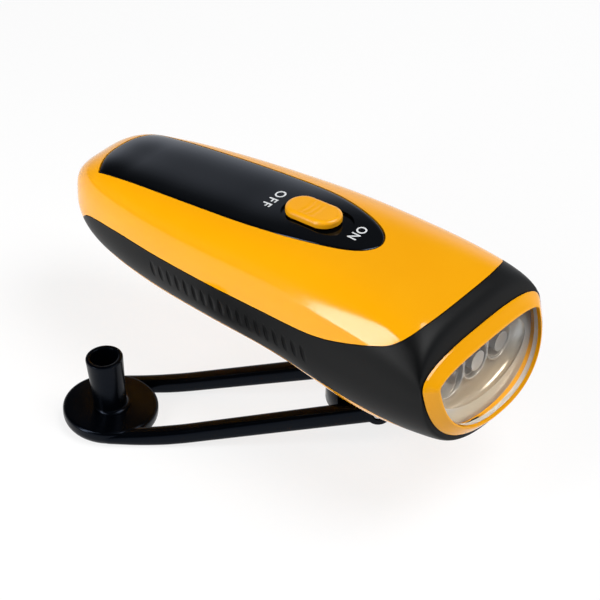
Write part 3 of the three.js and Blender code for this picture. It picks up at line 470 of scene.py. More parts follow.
def panel_height(x, y, depth_in):
    near = min(1.0, depth_in / panel_round)
    return skin_height(x, y) - panel_round * (1 - math.sqrt(1 - (1 - near) ** 2))


panel_insets = [0, 0.05, 0.12, 0.22, 0.4] + [0.4 + 0.7 * i for i in range(1, 18)]
panel_sheet = filled_outline(panel_outline(0, 10), panel_insets, panel_spine, panel_height)
top_panel = piece_from("top_plate", thickened(panel_sheet, -panel_thickness))
button_x, button_length, button_width, button_travel = 80.0, 16.8, 9.6, 2.5
dish_margin, dish_depth, dish_clear = 2.4, 0.7, 6


# A slot's outline: two half circles joined by straights
def stadium(x, length, width, steps=24):
    radius, straight = width / 2, (length - width) / 2
    right = [
        (x + straight + radius * math.cos(a), radius * math.sin(a))
        for a in (math.pi * (i / steps - 0.5) for i in range(steps + 1))
    ]
    left = [(2 * x - px, -py) for px, py in right]
    along = max(2, round(2 * straight / (math.pi * radius / steps)))
    top = [(x + straight - 2 * straight * i / along, radius) for i in range(1, along)]
    bottom = [(x - straight + 2 * straight * i / along, -radius) for i in range(1, along)]
    return right + top + left + bottom


dish_length, dish_width = button_length + button_travel + dish_margin, button_width + dish_margin
dish_x = button_x + button_travel / 2
dish_floor = filled_outline(
    stadium(dish_x, dish_length, dish_width), [0.6 * i for i in range(10)],
    (dish_x - dish_length / 2 + dish_width / 2, dish_x + dish_length / 2 - dish_width / 2),
    lambda x, y, d: skin_height(x, y, dish_depth),
)
fit(top_panel, thickened(dish_floor, dish_clear), "DIFFERENCE")
rounded_smooth(top_panel)


# Piano-black ABS from a mirror-polished tool: deep black, whose reflections carry a painted cool
# blue tint. Handling leaves it a little duller in clouds about 10 mm wide. The nylon of the crank
# is the same but rougher.
def piano_black_abs(name, roughness, colour, ior):
    made, tree = new_finish(name)
    place = add_node(tree, "TexCoord").outputs["Object"]
    cloud = add_node(tree, "TexNoise", {"Scale": 90, "Detail": 4}, {"Vector": place})
    wear = add_node(
        tree, "MapRange", {"To Min": roughness - 0.03, "To Max": roughness + 0.05},
        {"Value": cloud.outputs["Fac"]},
    )
    # The blue-white Specular Tint paints a cool blue tint onto every reflection
    shader = add_node(
        tree, "BsdfPrincipled",
        {"Base Color": linear(colour), "IOR": ior, "Specular Tint": linear("#C8DCFF")},
        {"Roughness": wear.outputs["Result"]},
    )
    add_node(tree, "OutputMaterial", None, {"Surface": shader.outputs["BSDF"]})
    return made


piano_black = piano_black_abs("piano black ABS", 0.1, "#040506", 1.48)
top_panel.data.materials.append(piano_black)
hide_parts("top_panel")
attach(top_panel, "torch_body")


# Switch lettering: OFF and ON, pad-printed in white on the panel on either side of the slide,
# 2.7 mm high, with the letters' tops towards the lens.
ink_thickness, ink_spread, ink_lift, word_y = 0.02, 0.05, 0.03, 0.45


def printed_word(name, text, x, y, size, spacing):
    letters = bpy.data.curves.new(name, "FONT")
    letters.body, letters.size, letters.space_character = text, size, spacing
    letters.align_x, letters.align_y = "CENTER", "CENTER"
    letters.extrude, letters.offset = ink_thickness, ink_spread
    carrier = bpy.data.objects.new(name, letters)
    bpy.context.collection.objects.link(carrier)
    flat = bpy.data.meshes.new_from_object(
        carrier.evaluated_get(bpy.context.evaluated_depsgraph_get())
    )
    bpy.data.objects.remove(carrier)
    made = bmesh.new()
    made.from_mesh(flat)
    bmesh.ops.remove_doubles(made, verts=made.verts, dist=weld)
    bmesh.ops.triangulate(made, faces=made.faces)
    for vert in made.verts:
        along, across = x + vert.co.y, y - vert.co.x
        vert.co = (along, across, skin_height(along, across, -ink_lift) + vert.co.z)
    return piece_from(name, made)


# White pad-printing ink: a thin matt film, a little thin in places, mottled at about 0.5 mm.
def pad_printing_ink(name):
    return two_shade_finish(
        name, "#C9CCCE", "#E8EAEB", ("TexNoise", {"Scale": 2000, "Detail": 2}), {"Roughness": 0.55}
    )


ink = pad_printing_ink("white printing ink")
for name, text, x, size, spacing in [
    ("off_print", "OFF", 66.2, 4.2, 1.3), ("on_print", "ON", 94.2, 3.9, 1.15)
]:
    word = printed_word(name, text, x, word_y, size, spacing)
    word.data.materials.append(ink)
    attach(word, "torch_body")


# Switch button: a yellow thumb slide, crowned, with shallow curved grooves across its middle.
# Moulded ABS; its forked stem reaches through the shell and moves the slide switch below.
deck_half = 8.75
deck_rise = skin_height(button_x + deck_half, 0) - skin_height(button_x - deck_half, 0)
deck_slope = deck_rise / (2 * deck_half)
cap_base = skin_height(button_x, 0) - 0.4
cap_side, cap_crown, cap_round, cap_flat = 1.32, 1.08, 1.3, 3.95
groove_depth, groove_pitch, groove_bow, groove_reach = 0.16, 1.7, 0.05, 1.25
groove_inset, groove_fade = 1, 0.8


# The height of the cap's top: three cosine grooves fade out towards its rounded edge
def cap_height(x, y, depth_in):
    near = min(1.0, depth_in / cap_round)
    round_over = cap_side + cap_crown * math.sqrt(1 - (1 - near) ** 2)
    groove = 0.0
    from_middle = (x - button_x + groove_bow * y * y) / groove_pitch
    if depth_in > groove_inset and abs(from_middle) < groove_reach:
        fade = min(1, (depth_in - groove_inset) / groove_fade)
        groove = groove_depth * max(0.0, math.cos(from_middle * math.tau)) * fade
    return cap_base + deck_slope * (x - button_x) + round_over - groove


cap_insets = [0, 0.03, 0.1, 0.2, 0.35, 0.55, 0.8, 1.05] + [1.3 + 0.25 * i for i in range(14)]
cap = filled_outline(
    stadium(button_x, button_length, button_width, 30), cap_insets,
    (button_x - cap_flat, button_x + cap_flat), cap_height,
)
switch_button = piece_from("thumb_slide", thickened(cap, -1.0))
rounded_smooth(switch_button, 50)
switch_button.data.materials.append(moulded_yellow_abs("yellow switch ABS", 0.3))
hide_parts("switch_button")
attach(switch_button, "button")


# Lens frame: a yellow gloss ring that closes the nose. Its sloping face rises to a rounded
# lip over the lens, and a skirt behind it presses the lens and the reflector into the nose.
def opening_point(turn, grow, forward):
    half, top, bottom = opening_size(grow)
    upper = math.sin(turn) >= 0
    across, along = squared_circle(turn, upper_power[1] if upper else lower_power[1])
    climb = top - opening_middle if upper else bottom + opening_middle
    z = opening_middle + along * climb
    return Vector((body_reach + face_lean * z + forward, across * half, z))


# A closed profile of (distance from the opening, height over the face) led round the opening
def ring_round_opening(profile, columns=240):
    last = len(profile)

    def place(round_share, profile_share):
        grow, forward = profile[round(profile_share * last) % last]
        return opening_point(round_share * math.tau, grow, forward)

    return mapped_grid(columns, last, place)


bezel_rim, bezel_depth, face_steps = 3.9, 2.94, 28
skirt_inner, skirt_outer, skirt_back = 0.9, 1.8, -3
front_grow = curve_through([1, 0.87, 0.5, 0.15, 0])
front_forward = curve_through([0, 0.18, 0.52, 0.84, 0.88])
bezel_profile = [
    (bezel_rim * front_grow(i / face_steps), seam + bezel_depth * front_forward(i / face_steps))
    for i in range(face_steps + 1)
] + [
    (0, seam), (skirt_inner, seam), (skirt_inner, skirt_back), (skirt_outer, skirt_back),
    (skirt_outer, seam),
]
lens_frame = piece_from("lens_frame", ring_round_opening(bezel_profile))
rounded_smooth(lens_frame)
lens_frame.data.materials.append(shell_yellow)
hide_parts("bezel")
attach(lens_frame, "torch_body")


# Lens: a window of clear polycarbonate whose flange sits behind the frame's lip and whose
# raised middle fills the opening, almost flush with the frame's crest and very slightly domed.
lens_flange, lens_back, lens_lift, lens_dome, lens_middle = 0.8, -1.8, 2.2, 0.5, 2
lens_edge = [
    (lens_flange, lens_back), (lens_flange, 0), (-0.15, 0), (-0.15, 1.7), (-0.3, 2.05),
    (-0.6, lens_lift),
]


# The back closes in to the middle, then come the edge's points and the domed front
def lens_body(rings=8):
    last = 2 * rings + len(lens_edge) - 1

    def place(round_share, in_share):
        row = round(in_share * last)
        turn = round_share * math.tau
        if rings <= row < rings + len(lens_edge):
            return opening_point(turn, *lens_edge[row - rings])
        behind = row < rings
        keep = (row if behind else last - row) / rings
        grow, forward = lens_edge[0 if behind else -1]
        forward += 0 if behind else lens_dome * (1 - keep**2)
        middle = Vector((body_reach + face_lean * lens_middle + forward, 0, lens_middle))
        return middle.lerp(opening_point(turn, grow, forward), keep)

    return mapped_grid(240, last, place)


lens = piece_from("lens_window", lens_body())
rounded_smooth(lens)


# Clear polycarbonate or epoxy from a polished mould: hardly any tint, sharp reflections, and
# light passes straight through it without a dark shadow.
def clear_window(name, colour, roughness, ior):
    made, tree = new_finish(name)
    rays = add_node(tree, "LightPath")
    clear = add_node(
        tree, "BsdfGlass", {"Color": linear(colour), "Roughness": roughness, "IOR": ior}
    )
    passing = add_node(tree, "BsdfTransparent", {"Color": linear(colour)})
    both = add_node(
        tree, "MixShader", None,
        {0: rays.outputs["Is Shadow Ray"], 1: clear.outputs[0], 2: passing.outputs[0]},
    )
    add_node(tree, "OutputMaterial", None, {"Surface": both.outputs[0]})
    return made


lens.data.materials.append(clear_window("clear polycarbonate", "#F8F8F6", 0.02, 1.16))

# The raised middle's side wall is left matt by the mould: milky and mottled at about 1 mm. The
# frame shows through it a little, and its pale tan is painted light from the yellow frame.
def matt_polycarbonate(name):
    return two_shade_finish(
        name, "#C9BBA9", "#D6D0C9", ("TexNoise", {"Scale": 1000, "Detail": 2}),
        {"Roughness": 0.35, "IOR": 1.3, "Transmission Weight": 0.3},
    )


lens.data.materials.append(matt_polycarbonate("matt-edged polycarbonate"))
wall_facing, wall_start = 0.4, -0.2
for face in lens.data.polygons:
    rim = (lens.data.vertices[face.vertices[0]].co - tail) / MM
    forward = rim.x - body_reach - face_lean * rim.z
    if abs(face.normal.x) < wall_facing and forward > wall_start:
        face.material_index = 1
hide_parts("lens")
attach(lens, "torch_body")


# Reflector: one moulding behind the lens with a cup round each lamp and a wide bowl below
# them. Vacuum-metallised ABS, bright silver grey with soft streaks.
lamp_rows, lamp_height = (-10.5, 0.0, 10.5), -0.4
reflector_front, reflector_back, reflector_edge = -2.1, 125.7, 2
front_ring, back_ring = 0.6, -2.676
bowl_size = (3.6, 0.86 * opening_half_width, 0.9 * opening_bottom)


# Rows of the block: front middle, front ring, end of the straight edge, back ring, back middle
def reflector_block():
    def place(round_share, along_share):
        row = round(along_share * 4)
        turn = round_share * math.tau
        if row == 0:
            front = body_reach + face_lean * lens_middle + reflector_front
            return Vector((front, 0, lens_middle))
        if row == 1:
            return opening_point(turn, front_ring, reflector_front)
        if row == 2:
            return opening_point(turn, front_ring, reflector_front - reflector_edge)
        rim = opening_point(turn, back_ring, 0)
        rim.x = reflector_back
        return rim if row == 3 else Vector((reflector_back, 0, lens_middle))

    return mapped_grid(180, 4, place)


# A turned shape laid over, with its axis along x or y
def laid_over(profile, middle, sides, axis):
    made = turned_shape(profile, (0, 0, 0), sides)
    bmesh.ops.rotate(
        made, verts=made.verts, cent=(0, 0, 0), matrix=Matrix.Rotation(math.pi / 2, 3, axis)
    )
    bmesh.ops.translate(made, verts=made.verts, vec=middle)
    return made


def turned_along_x(profile, middle, sides=96):
    return laid_over(profile, middle, sides, "Y")


# A cup is part of a paraboloid, cut off at its foot and run on past the front
cup_radius, cup_depth = 6.2, body_reach - reflector_back
cup_shares = [0.12 + 0.98 * i / 30 for i in range(31)]
cup_side = [(cup_radius * math.sqrt(share), cup_depth * share) for share in cup_shares]
cup = [(0, cup_side[0][1]), *cup_side, (0, cup_side[-1][1])]
lamp_hole = [(0, -1), (2.8, -1), (2.8, 8), (0, 8)]
lip_middle, lip_height, lip_radius = 5.3, 7.2, 0.32
lip = [
    (lip_middle + lip_radius * math.cos(a), lip_height + lip_radius * math.sin(a))
    for a in (math.pi * i / 12 for i in range(13))
]
cup_wall = [(4.98, 1), (5.62, 1), *lip, (4.98, 1)]
reflector = piece_from("reflector_dish", reflector_block())
bowl = bmesh.new()
bmesh.ops.create_uvsphere(bowl, u_segments=96, v_segments=64, radius=1)
bmesh.ops.scale(bowl, verts=bowl.verts, vec=bowl_size)
bmesh.ops.translate(bowl, verts=bowl.verts, vec=(body_reach + reflector_front, 0, 0))
fit(reflector, bowl, "DIFFERENCE")
for y in lamp_rows:
    foot = (reflector_back, y, lamp_height)
    fit(reflector, turned_along_x(cup, foot), "DIFFERENCE")
    fit(reflector, turned_along_x(lamp_hole, foot, 48), "DIFFERENCE")
    fit(reflector, turned_along_x(cup_wall, foot), "UNION")
rounded_smooth(reflector, 25)


# Vacuum-metallised ABS: an aluminium film over moulded plastic, slightly milky, with a painted warm
# glow low down for the yellow light thrown up from the frame, and a ripple of a few millimetres
# from the moulding underneath.
# Heights below which the painted warm glow is full, and above which it is gone
painted_glow_full_below, painted_glow_gone_above = 8, 2


def metallised_abs(name):
    made, tree = new_finish(name)
    place = add_node(tree, "TexCoord").outputs["Object"]
    ripple = add_node(tree, "TexNoise", {"Scale": 300, "Detail": 1}, {"Vector": place})
    bump = add_node(
        tree, "Bump", {"Strength": 0.12, "Distance": 0.0003}, {"Height": ripple.outputs["Fac"]}
    )
    level = add_node(tree, "SeparateXYZ", None, {0: place}).outputs["Z"]
    painted_glow = add_node(
        tree, "MapRange",
        {"From Min": tail.z - painted_glow_full_below * MM, "From Max": tail.z - painted_glow_gone_above * MM},
        {"Value": level},
    )
    # Painted warm glow: the colour turns warmer towards the bottom, standing in for light from the
    # frame
    tint = add_node(
        tree, "Mix", {"data_type": "RGBA", 6: linear("#CDBCA6"), 7: linear("#BFBFC2")},
        {0: painted_glow.outputs["Result"]},
    )
    shader = add_node(
        tree, "BsdfPrincipled", {"Metallic": 0.45, "Roughness": 0.2},
        {"Base Color": tint.outputs[2], "Normal": bump.outputs["Normal"]},
    )
    add_node(tree, "OutputMaterial", None, {"Surface": shader.outputs["BSDF"]})
    return made


reflector.data.materials.append(metallised_abs("metallised ABS"))
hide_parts("reflector")
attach(reflector, "torch_body")


# Lamps: three round 5 mm LEDs, each cast in clear epoxy with a domed end and a rim at its foot.
# They are soldered to the small board behind the reflector.
lamp_back, lamp_radius, lamp_rim, rim_height, dome_start = 123.7, 2.5, 2.9, 1, 6.1
lamp_dome = [
    (lamp_radius * math.cos(a), dome_start + lamp_radius * math.sin(a))
    for a in (math.pi / 2 * i / 14 for i in range(1, 14))
]
lamp_shape = [
    (0, 0), (lamp_rim, 0), (lamp_rim, rim_height), (lamp_radius, rim_height),
    (lamp_radius, dome_start), *lamp_dome, (0, dome_start + lamp_radius),
]
lamp_epoxy = clear_window("clear lamp epoxy", "#F8FAFB", 0.02, 1.46)
for i, y in enumerate(lamp_rows):
    lamp = piece_from(
        f"lamp_{i + 1}", turned_along_x(lamp_shape, (lamp_back, y, lamp_height), 48)
    )
    rounded_smooth(lamp)
    lamp.data.materials.append(lamp_epoxy)
    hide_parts(f"led_{i + 1}")
    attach(lamp, "torch_body")


# Lead frames: in each lamp a stamped cup that holds the chip on its post, and a thinner post
# for the bond wire. Silver-plated steel, cast into the epoxy and seen through it.
chip_cup = [(0, 4.2), (0.5, 4.2), (1.0, 5.2), (0.85, 5.2), (0.4, 4.5), (0, 4.5)]
cup_aside, lead_foot, sheet_thickness = 0.35, 1.2, 0.5
# For the chip's post and for the bond wire's: place across the lamp, reach and half width
lead_posts = ((cup_aside, 4.4, 0.35), (-1.0, 4.9, 0.25))


# Silver plate on the stamped steel: a bright mirror with tarnish clouds about 1 mm across.
def silver_plating(name):
    return two_shade_finish(
        name, "#9C9A98", "#F2F2F0", ("TexNoise", {"Scale": 900, "Detail": 2}),
        {"Metallic": 1, "Roughness": 0.12},
    )


silver_plate = silver_plating("silver plate")
for i, y in enumerate(lamp_rows):
    cup_shape = turned_along_x(chip_cup, (lamp_back, y + cup_aside, lamp_height), 32)
    lead_frame = piece_from(f"lead_frame_{i + 1}", cup_shape)
    for aside, reach, half in lead_posts:
        lead_post = bmesh.new()
        bmesh.ops.create_cube(lead_post, size=1)
        bmesh.ops.scale(
            lead_post, verts=lead_post.verts, vec=(reach - lead_foot, 2 * half, sheet_thickness)
        )
        bmesh.ops.translate(
            lead_post, verts=lead_post.verts,
            vec=(lamp_back + (reach + lead_foot) / 2, y + aside, lamp_height),
        )
        fit(lead_frame, lead_post, "UNION")
    rounded_smooth(lead_frame)
    lead_frame.data.materials.append(silver_plate)
    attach(lead_frame, "torch_body")


# Crank hub: a turned black block with two flats between the bars of the arm, on a shaft that
# runs up through the boss. Moulded glass-filled nylon, semi gloss.
# The crank is drawn along x from its axis and swung to where the photo shows it.
crank_heading = math.radians(180 + 38.6)
hub_profile = [
    (0, -31), (10.5, -31), (10.85, -30.85), (11, -30.5), (11, -24.5), (10.85, -24.15),
    (10.5, -24), (4, -24), (4, -12.4), (0, -12.4),
]
hub_flat, pivot_back = 7.7, 3.0


def swing(shape):
    bmesh.ops.rotate(
        shape, verts=shape.verts, cent=(0, 0, 0), matrix=Matrix.Rotation(crank_heading, 3, "Z")
    )
    bmesh.ops.translate(shape, verts=shape.verts, vec=(hub_x, 0, 0))
    return shape


def block(low, high):
    made = bmesh.new()
    bmesh.ops.create_cube(made, size=1)
    size = Vector(high) - Vector(low)
    bmesh.ops.scale(made, verts=made.verts, vec=size)
    bmesh.ops.translate(made, verts=made.verts, vec=Vector(low) + size / 2)
    return made


hub = piece_from("crank_boss", swing(turned_shape(hub_profile, (0, 0, 0))))
fit(hub, swing(block((-12, -hub_flat, -32), (12, hub_flat, 0))), "INTERSECT")


def turned_along_y(profile, middle, sides=64):
    return laid_over(profile, middle, sides, "X")


pin_hole = [(0, -20), (1.55, -20), (1.55, 20), (0, 20)]
fit(hub, swing(turned_along_y(pin_hole, (-pivot_back, 0, pivot_z), 32)), "DIFFERENCE")
rounded_smooth(hub)
crank_black = piano_black_abs("semi-gloss black nylon", 0.22, "#010204", 1.23)
hub.data.materials.append(crank_black)
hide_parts("crank_hub")
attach(hub, "crank")


# Crank arm: a fork of two slim bars from the hinge pin to a round disc with a hollow finger
# post that leans a little outward. One black nylon moulding with every edge rounded.
arm_reach, disc_top, disc_thickness, disc_radius, disc_foot = 69.75, -34.87, 4.4, 13.1, 11.4
foot_round, top_round = 2.4, 1.0
bar_width, bar_height, fork_half = 4.3, 5.8, 8.0
bar_slope, bar_level, bar_bend = 0.172, 5.3, 17.6
# Near the disc the bar's squared section turns round and a little lower, flush with the rim
bar_squareness, bar_lowering, near_length = (4.0, 2.1), (1, 0.94), 16
bar_proud, bar_tuck, bar_overlap = 0.3, 0.5, 3
ear_radius, ear_round = 3.3, 0.4


# A bar leaves the disc level, bends up and climbs straight to its ear
def bar_climb(x):
    way = max(0.0, arm_reach - x - bar_level)
    bend = min(way, bar_bend)
    return bar_slope * (bend**2 / (2 * bar_bend) + way - bend)


def crank_bar(side, rows=72, columns=32):
    ear_middle, flush = fork_half + bar_width / 2, disc_radius - bar_width / 2
    stations = [
        (blend(-pivot_back, arm_reach, share), blend(ear_middle, flush + bar_proud, share))
        for share in (i / rows for i in range(rows + 1))
    ] + [(arm_reach + bar_overlap, flush - bar_tuck)]
    last = len(stations) + 1

    def place(round_share, along_share):
        row = round(along_share * last)
        x, out = stations[max(0, min(len(stations) - 1, row - 1))]
        height = blend(disc_thickness, bar_height, bar_climb(x) / bar_climb(-pivot_back))
        near_disc = max(0.0, min(1.0, (x - arm_reach + near_length) / near_length))
        middle = Vector((x, side * out, disc_top - disc_thickness / 2 + bar_climb(x)))
        if row in (0, last):
            return middle
        across, up = squared_circle(round_share * math.tau, blend(*bar_squareness, near_disc))
        height *= blend(*bar_lowering, near_disc)
        return middle + Vector((0, across * bar_width / 2, up * height / 2))

    return mapped_grid(columns, last, place)


# An elliptic corner that leaves its start level and comes to its end upright
def quarter(start, end, steps=10):
    turns = [math.pi / 2 * i / steps for i in range(steps + 1)]
    return [
        (blend(start[0], end[0], math.sin(t)), blend(start[1], end[1], 1 - math.cos(t)))
        for t in turns
    ]


disc_low = disc_top - disc_thickness
disc_shape = (
    [(0, disc_low)]
    + quarter((disc_foot, disc_low), (disc_radius, disc_low + foot_round))
    + quarter((disc_radius - top_round, disc_top), (disc_radius, disc_top - top_round))[::-1]
    + [(0, disc_top)]
)
post_height, post_lean = 16.4, math.radians(5.2)
# Up the outside from the foot's fillet, over the rim, and down the inside to its floor
post_profile = [
    (0, -0.6), (5.4, -0.6), (5.4, 0), (5.15, 0.05), (4.9, 0.16), (4.7, 0.34), (4.56, 0.6),
    (4.48, 1.1), (5.13, post_height - 0.7), (5.12, post_height - 0.35),
    (5.0, post_height - 0.1), (4.8, post_height), (4.1, post_height), (3.88, post_height - 0.12),
    (3.76, post_height - 0.4), (3.72, post_height - 0.9), (3.15, 1.2), (2.9, 0.7), (2.5, 0.4),
    (0, 0.4),
]
post = turned_shape(post_profile, (0, 0, 0), 96)
bmesh.ops.rotate(
    post, verts=post.verts, cent=(0, 0, 0), matrix=Matrix.Rotation(post_lean, 3, "Y")
)
bmesh.ops.translate(post, verts=post.verts, vec=(arm_reach, 0, disc_top))
arm = piece_from("crank_arm_fork", swing(turned_shape(disc_shape, (arm_reach, 0, 0), 128)))
ear_flat = ear_radius - ear_round
ear = (
    [(0, 0)] + quarter((ear_flat, 0), (ear_radius, ear_round), 4)
    + quarter((ear_flat, bar_width), (ear_radius, bar_width - ear_round), 4)[::-1]
    + [(0, bar_width)]
)
for side in (1, -1):
    fit(arm, swing(crank_bar(side)), "UNION")
    inner = fork_half + bar_width if side > 0 else -fork_half
    fit(arm, swing(turned_along_y(ear, (-pivot_back, inner, pivot_z))), "UNION")
fit(arm, swing(post), "UNION")
fit(arm, swing(turned_along_y(pin_hole, (-pivot_back, 0, pivot_z), 32)), "DIFFERENCE")
rounded_smooth(arm)
arm.data.materials.append(crank_black)
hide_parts("crank_arm")
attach(arm, "arm")


# Hinge pin, washer and screws: turned or cold-headed steel, zinc plated, pressed or screwed in.
# These stay as the CAD has them and only get their finish.
def dress(material, *names):
    for name in names:
        for place in frame["nodes"][name].material_slots:
            place.material = material


# Zinc-plated steel: a thin bright blue-white plating, with a cloudy passivation a few
# millimetres wide and a fine tumbled grain that blurs what it reflects.
def plated_steel(name, dull, bright, roughness):
    made, tree = new_finish(name)
    place = add_node(tree, "TexCoord").outputs["Object"]
    cloud = add_node(tree, "TexNoise", {"Scale": 350, "Detail": 3}, {"Vector": place})
    tint = add_node(
        tree, "Mix", {"data_type": "RGBA", 6: linear(dull), 7: linear(bright)},
        {0: cloud.outputs["Fac"]},
    )
    wear = add_node(
        tree, "MapRange", {"To Min": roughness - 0.06, "To Max": roughness + 0.08},
        {"Value": cloud.outputs["Fac"]},
    )
    grain = add_node(tree, "TexNoise", {"Scale": 3000, "Detail": 2}, {"Vector": place})
    bump = add_node(
        tree, "Bump", {"Strength": 0.1, "Distance": 0.0001}, {"Height": grain.outputs["Fac"]}
    )
    shader = add_node(
        tree, "BsdfPrincipled", {"Metallic": 1},
        {"Base Color": tint.outputs[2], "Roughness": wear.outputs["Result"],
         "Normal": bump.outputs["Normal"]},
    )
    add_node(tree, "OutputMaterial", None, {"Surface": shader.outputs["BSDF"]})
    return made


zinc_steel = plated_steel("zinc-plated steel", "#A3A6AA", "#C4C6C8", 0.3)
dress(
    zinc_steel, "hinge_pin", "gear_washer", "gear_screw", "switch_base",
    *(f"plate_screw_{i}" for i in (1, 2, 3, 4)), *(f"board_screw_{i}" for i in (1, 2)),
    *(f"case_screw_{i}" for i in (1, 2, 3, 4)),
)


# Gear train: the drive gear on the crank's shaft, two idlers, the rotor's pinion, and the plate
# that holds their axles. The wheels and the plate are moulded acetal, the axles ground steel.

# Natural acetal is milky white and waxy, with faint flow marks about 4 mm long.
def moulded_acetal(name):
    return two_shade_finish(
        name, "#DDD8CA", "#EBE8DE", ("TexNoise", {"Scale": 250, "Detail": 2}),
        {"Roughness": 0.38, "IOR": 1.48}, 0.08, 0.0002,
    )


dress(
    moulded_acetal("natural acetal"), "drive_gear", "idler_gear_1", "idler_gear_2",
    "rotor_pinion", "gear_plate", "switch_lever",
)
ground_steel = plated_steel("ground steel", "#B4B6B8", "#CBCCCD", 0.22)
dress(ground_steel, "idler_axle_1", "idler_axle_2", "rotor_shaft")


# Generator: a pressed steel can over a wound coil, and a ferrite magnet pressed on the rotor's
# shaft. The can is nickel plated.
dress(plated_steel("nickel-plated steel", "#B9B5AC", "#D2CEC6", 0.26), "stator_core")


# Enamelled copper wire, wound in even layers: fine rings 0.35 mm apart, painted in dark and
# bright bands as the shade between the turns and the glint along them.
def wound_copper(name):
    layers = {"bands_direction": "Z", "Scale": 450, "Distortion": 0.6, "Detail": 1}
    return two_shade_finish(
        name, "#7A3410", "#C8763C", ("TexWave", layers), {"Metallic": 1, "Roughness": 0.3},
        0.5, 0.0002,
    )


dress(wound_copper("enamelled copper wire"), "stator_coil")


# Sintered ferrite: dull charcoal, speckled with grains drawn 0.3 mm wide so that they show.
def sintered_ferrite(name):
    return two_shade_finish(
        name, "#323336", "#5A5B5F", ("TexVoronoi", {"Scale": 3300}), {"Roughness": 0.6},
        0.3, 0.0001,
    )


dress(sintered_ferrite("sintered ferrite"), "rotor_magnet")


# Cells: three rechargeable button cells in nickel-plated steel cans, one behind the other, held
# together by a heat-shrink sleeve.
dress(
    plated_steel("bright nickel can", "#C2C2C0", "#DCDCDA", 0.2),
    *(f"battery_cell_{i}" for i in (1, 2, 3)),
)


# Soft PVC, shrunk or drawn over what it covers: one even colour with slack ripples of a few
# millimetres and a greasy shine.
def soft_pvc(name, low, high):
    return two_shade_finish(
        name, low, high, ("TexNoise", {"Scale": 280, "Detail": 2}),
        {"Roughness": 0.4, "IOR": 1.53}, 0.3, 0.0003,
    )


dress(soft_pvc("blue heat-shrink PVC", "#26508E", "#3562A4"), "battery_wrap")


# Leads: flat two-core cable, copper in PVC, soldered between the cells, the generator, the board
# and the lamps.
dress(
    soft_pvc("red PVC insulation", "#A5241C", "#BE3226"), "battery_lead", "generator_lead",
    "lamp_lead",
)


# Boards: glass-epoxy laminate under green solder mask, with copper tracks about 0.8 mm apart
# that show through it as a lighter green.
def solder_masked_laminate(name):
    made, tree = new_finish(name)
    place = add_node(tree, "TexCoord").outputs["Object"]
    tracks = add_node(
        tree, "TexBrick",
        {"Scale": 250, "Mortar Size": 0.05, "Color1": linear("#1F5A37"),
         "Color2": linear("#245F3B"), "Mortar": linear("#3B8455")},
        {"Vector": place},
    )
    bump = add_node(
        tree, "Bump", {"Strength": 0.2, "Distance": 0.0001}, {"Height": tracks.outputs["Fac"]}
    )
    shader = add_node(
        tree, "BsdfPrincipled", {"Roughness": 0.35},
        {"Base Color": tracks.outputs["Color"], "Normal": bump.outputs["Normal"]},
    )
    add_node(tree, "OutputMaterial", None, {"Surface": shader.outputs["BSDF"]})
    return made


dress(solder_masked_laminate("solder-masked laminate"), "led_board", "control_board")


# Floor, lamps and camera: a pale sweep that darkens overhead, a tall strip lamp at the near
# left, a broad one high at the right, and the camera above the lens end.

# Matt paper with fibres about 2.5 mm long. To the camera, in gloss and through glass most of it
# is its own plain white, and the rest still takes the object's shadow.
def studio_paper(name, own_white):
    made, tree = new_finish(name)
    place = add_node(tree, "TexCoord").outputs["Object"]
    fibre = add_node(tree, "TexNoise", {"Scale": 400, "Detail": 3}, {"Vector": place})
    tint = add_node(
        tree, "Mix", {"data_type": "RGBA", 6: linear("#F8F8F8"), 7: linear("#FDFDFD")},
        {0: fibre.outputs["Fac"]},
    )
    paper = add_node(tree, "BsdfDiffuse", None, {"Color": tint.outputs[2]})
    white = add_node(tree, "Emission", {"Color": linear("#FFFFFF"), "Strength": 1})
    rays = add_node(tree, "LightPath")
    seen = rays.outputs["Is Camera Ray"]
    for ray in ("Is Glossy Ray", "Is Transmission Ray"):
        seen = add_node(
            tree, "Math", {"operation": "MAXIMUM"}, {0: seen, 1: rays.outputs[ray]}
        ).outputs[0]
    share = add_node(tree, "Math", {"operation": "MULTIPLY", 1: own_white}, {0: seen})
    both = add_node(
        tree, "MixShader", None, {0: share.outputs[0], 1: paper.outputs[0], 2: white.outputs[0]}
    )
    add_node(tree, "OutputMaterial", None, {"Surface": both.outputs[0]})
    return made


floor_shape = bmesh.new()
bmesh.ops.create_circle(floor_shape, cap_ends=True, segments=96, radius=1500)
floor = piece_from("floor", floor_shape, lift=False)
floor.data.transform(Matrix.Scale(MM, 4))
floor.data.materials.append(studio_paper("pale paper", 0.8))

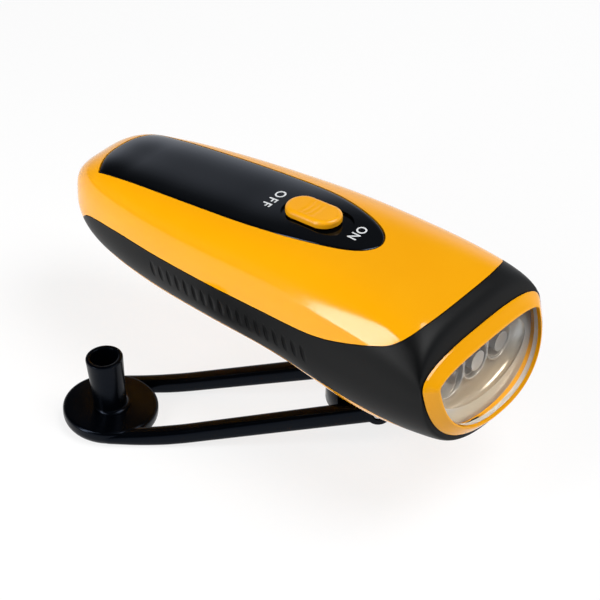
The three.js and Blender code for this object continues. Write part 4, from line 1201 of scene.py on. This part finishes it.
# The sky is bright low down and behind the object, and dark overhead and towards the camera
bright_below, dark_above, overhead = 0.2, 0.58, 0.08
behind_from, behind_to, near_side, far_side = -0.2, 0.5, 0.16, (0.2, 0.98, 0)
world = bpy.data.worlds.new("studio")
bpy.context.scene.world = world
world.use_nodes = True
tree = world.node_tree
tree.nodes.clear()
way = add_node(tree, "TexCoord").outputs["Generated"]
height = add_node(tree, "SeparateXYZ", None, {0: way}).outputs["Z"]
climb = add_node(
    tree, "MapRange",
    {"interpolation_type": "SMOOTHSTEP", "From Min": bright_below, "From Max": dark_above,
     "To Min": 1.0, "To Max": overhead},
    {"Value": height},
)
facing = add_node(tree, "VectorMath", {"operation": "DOT_PRODUCT", 1: far_side}, {0: way})
behind = add_node(
    tree, "MapRange",
    {"From Min": behind_from, "From Max": behind_to, "To Min": near_side, "To Max": 1.0},
    {"Value": facing.outputs["Value"]},
)
strength = add_node(
    tree, "Math", {"operation": "MULTIPLY"},
    {0: climb.outputs["Result"], 1: behind.outputs["Result"]},
)
sky = add_node(tree, "Background", {"Color": linear("#F6F9FF")}, {"Strength": strength.outputs[0]})
add_node(tree, "OutputWorld", None, {"Surface": sky.outputs[0]})


# A lamp of some watts, its width and height in metres, its place and aim in millimetres
def soft_lamp(name, power, width, height, place, aim):
    data = bpy.data.lights.new(name, "AREA")
    data.energy, data.shape, data.size, data.size_y = power, "RECTANGLE", width, height
    made = bpy.data.objects.new(name, data)
    made.location = tail + Vector(place) * MM
    made.rotation_euler = (Vector(aim) - Vector(place)).to_track_quat("-Z", "Y").to_euler()
    bpy.context.collection.objects.link(made)


middle = (70, 0, 5)
soft_lamp("strip", 1.75, 0.078, 0.58, (-54, -333, 255), (110, -24, 255))
soft_lamp("broad", 12.5, 0.7, 0.7, (558, 282, 1065), middle)

# The camera's place, length and shift are those fitted to the photo's outlines
target = tail + Vector(middle) * MM
camera_distance = 0.6488
camera_data = bpy.data.cameras.new("camera")
camera_data.sensor_width, camera_data.lens = 36, 143.66
camera_data.shift_x, camera_data.shift_y = 0.02853, -0.08517
azimuth, elevation, roll = (math.radians(d) for d in (37.73, 36.37, 1.62))
right = Vector((math.cos(azimuth), math.sin(azimuth), 0))
back = Vector(
    (math.sin(azimuth) * math.cos(elevation), -math.cos(azimuth) * math.cos(elevation),
     math.sin(elevation))
)
up = back.cross(right)
across = right * math.cos(roll) + up * math.sin(roll)
upward = up * math.cos(roll) - right * math.sin(roll)
camera = bpy.data.objects.new("camera", camera_data)
camera.matrix_world = Matrix.Translation(target + back * camera_distance) @ Matrix(
    (across, upward, back)
).transposed().to_4x4()
bpy.context.collection.objects.link(camera)
bpy.context.scene.camera = camera
bpy.context.scene.view_settings.view_transform = "Standard"
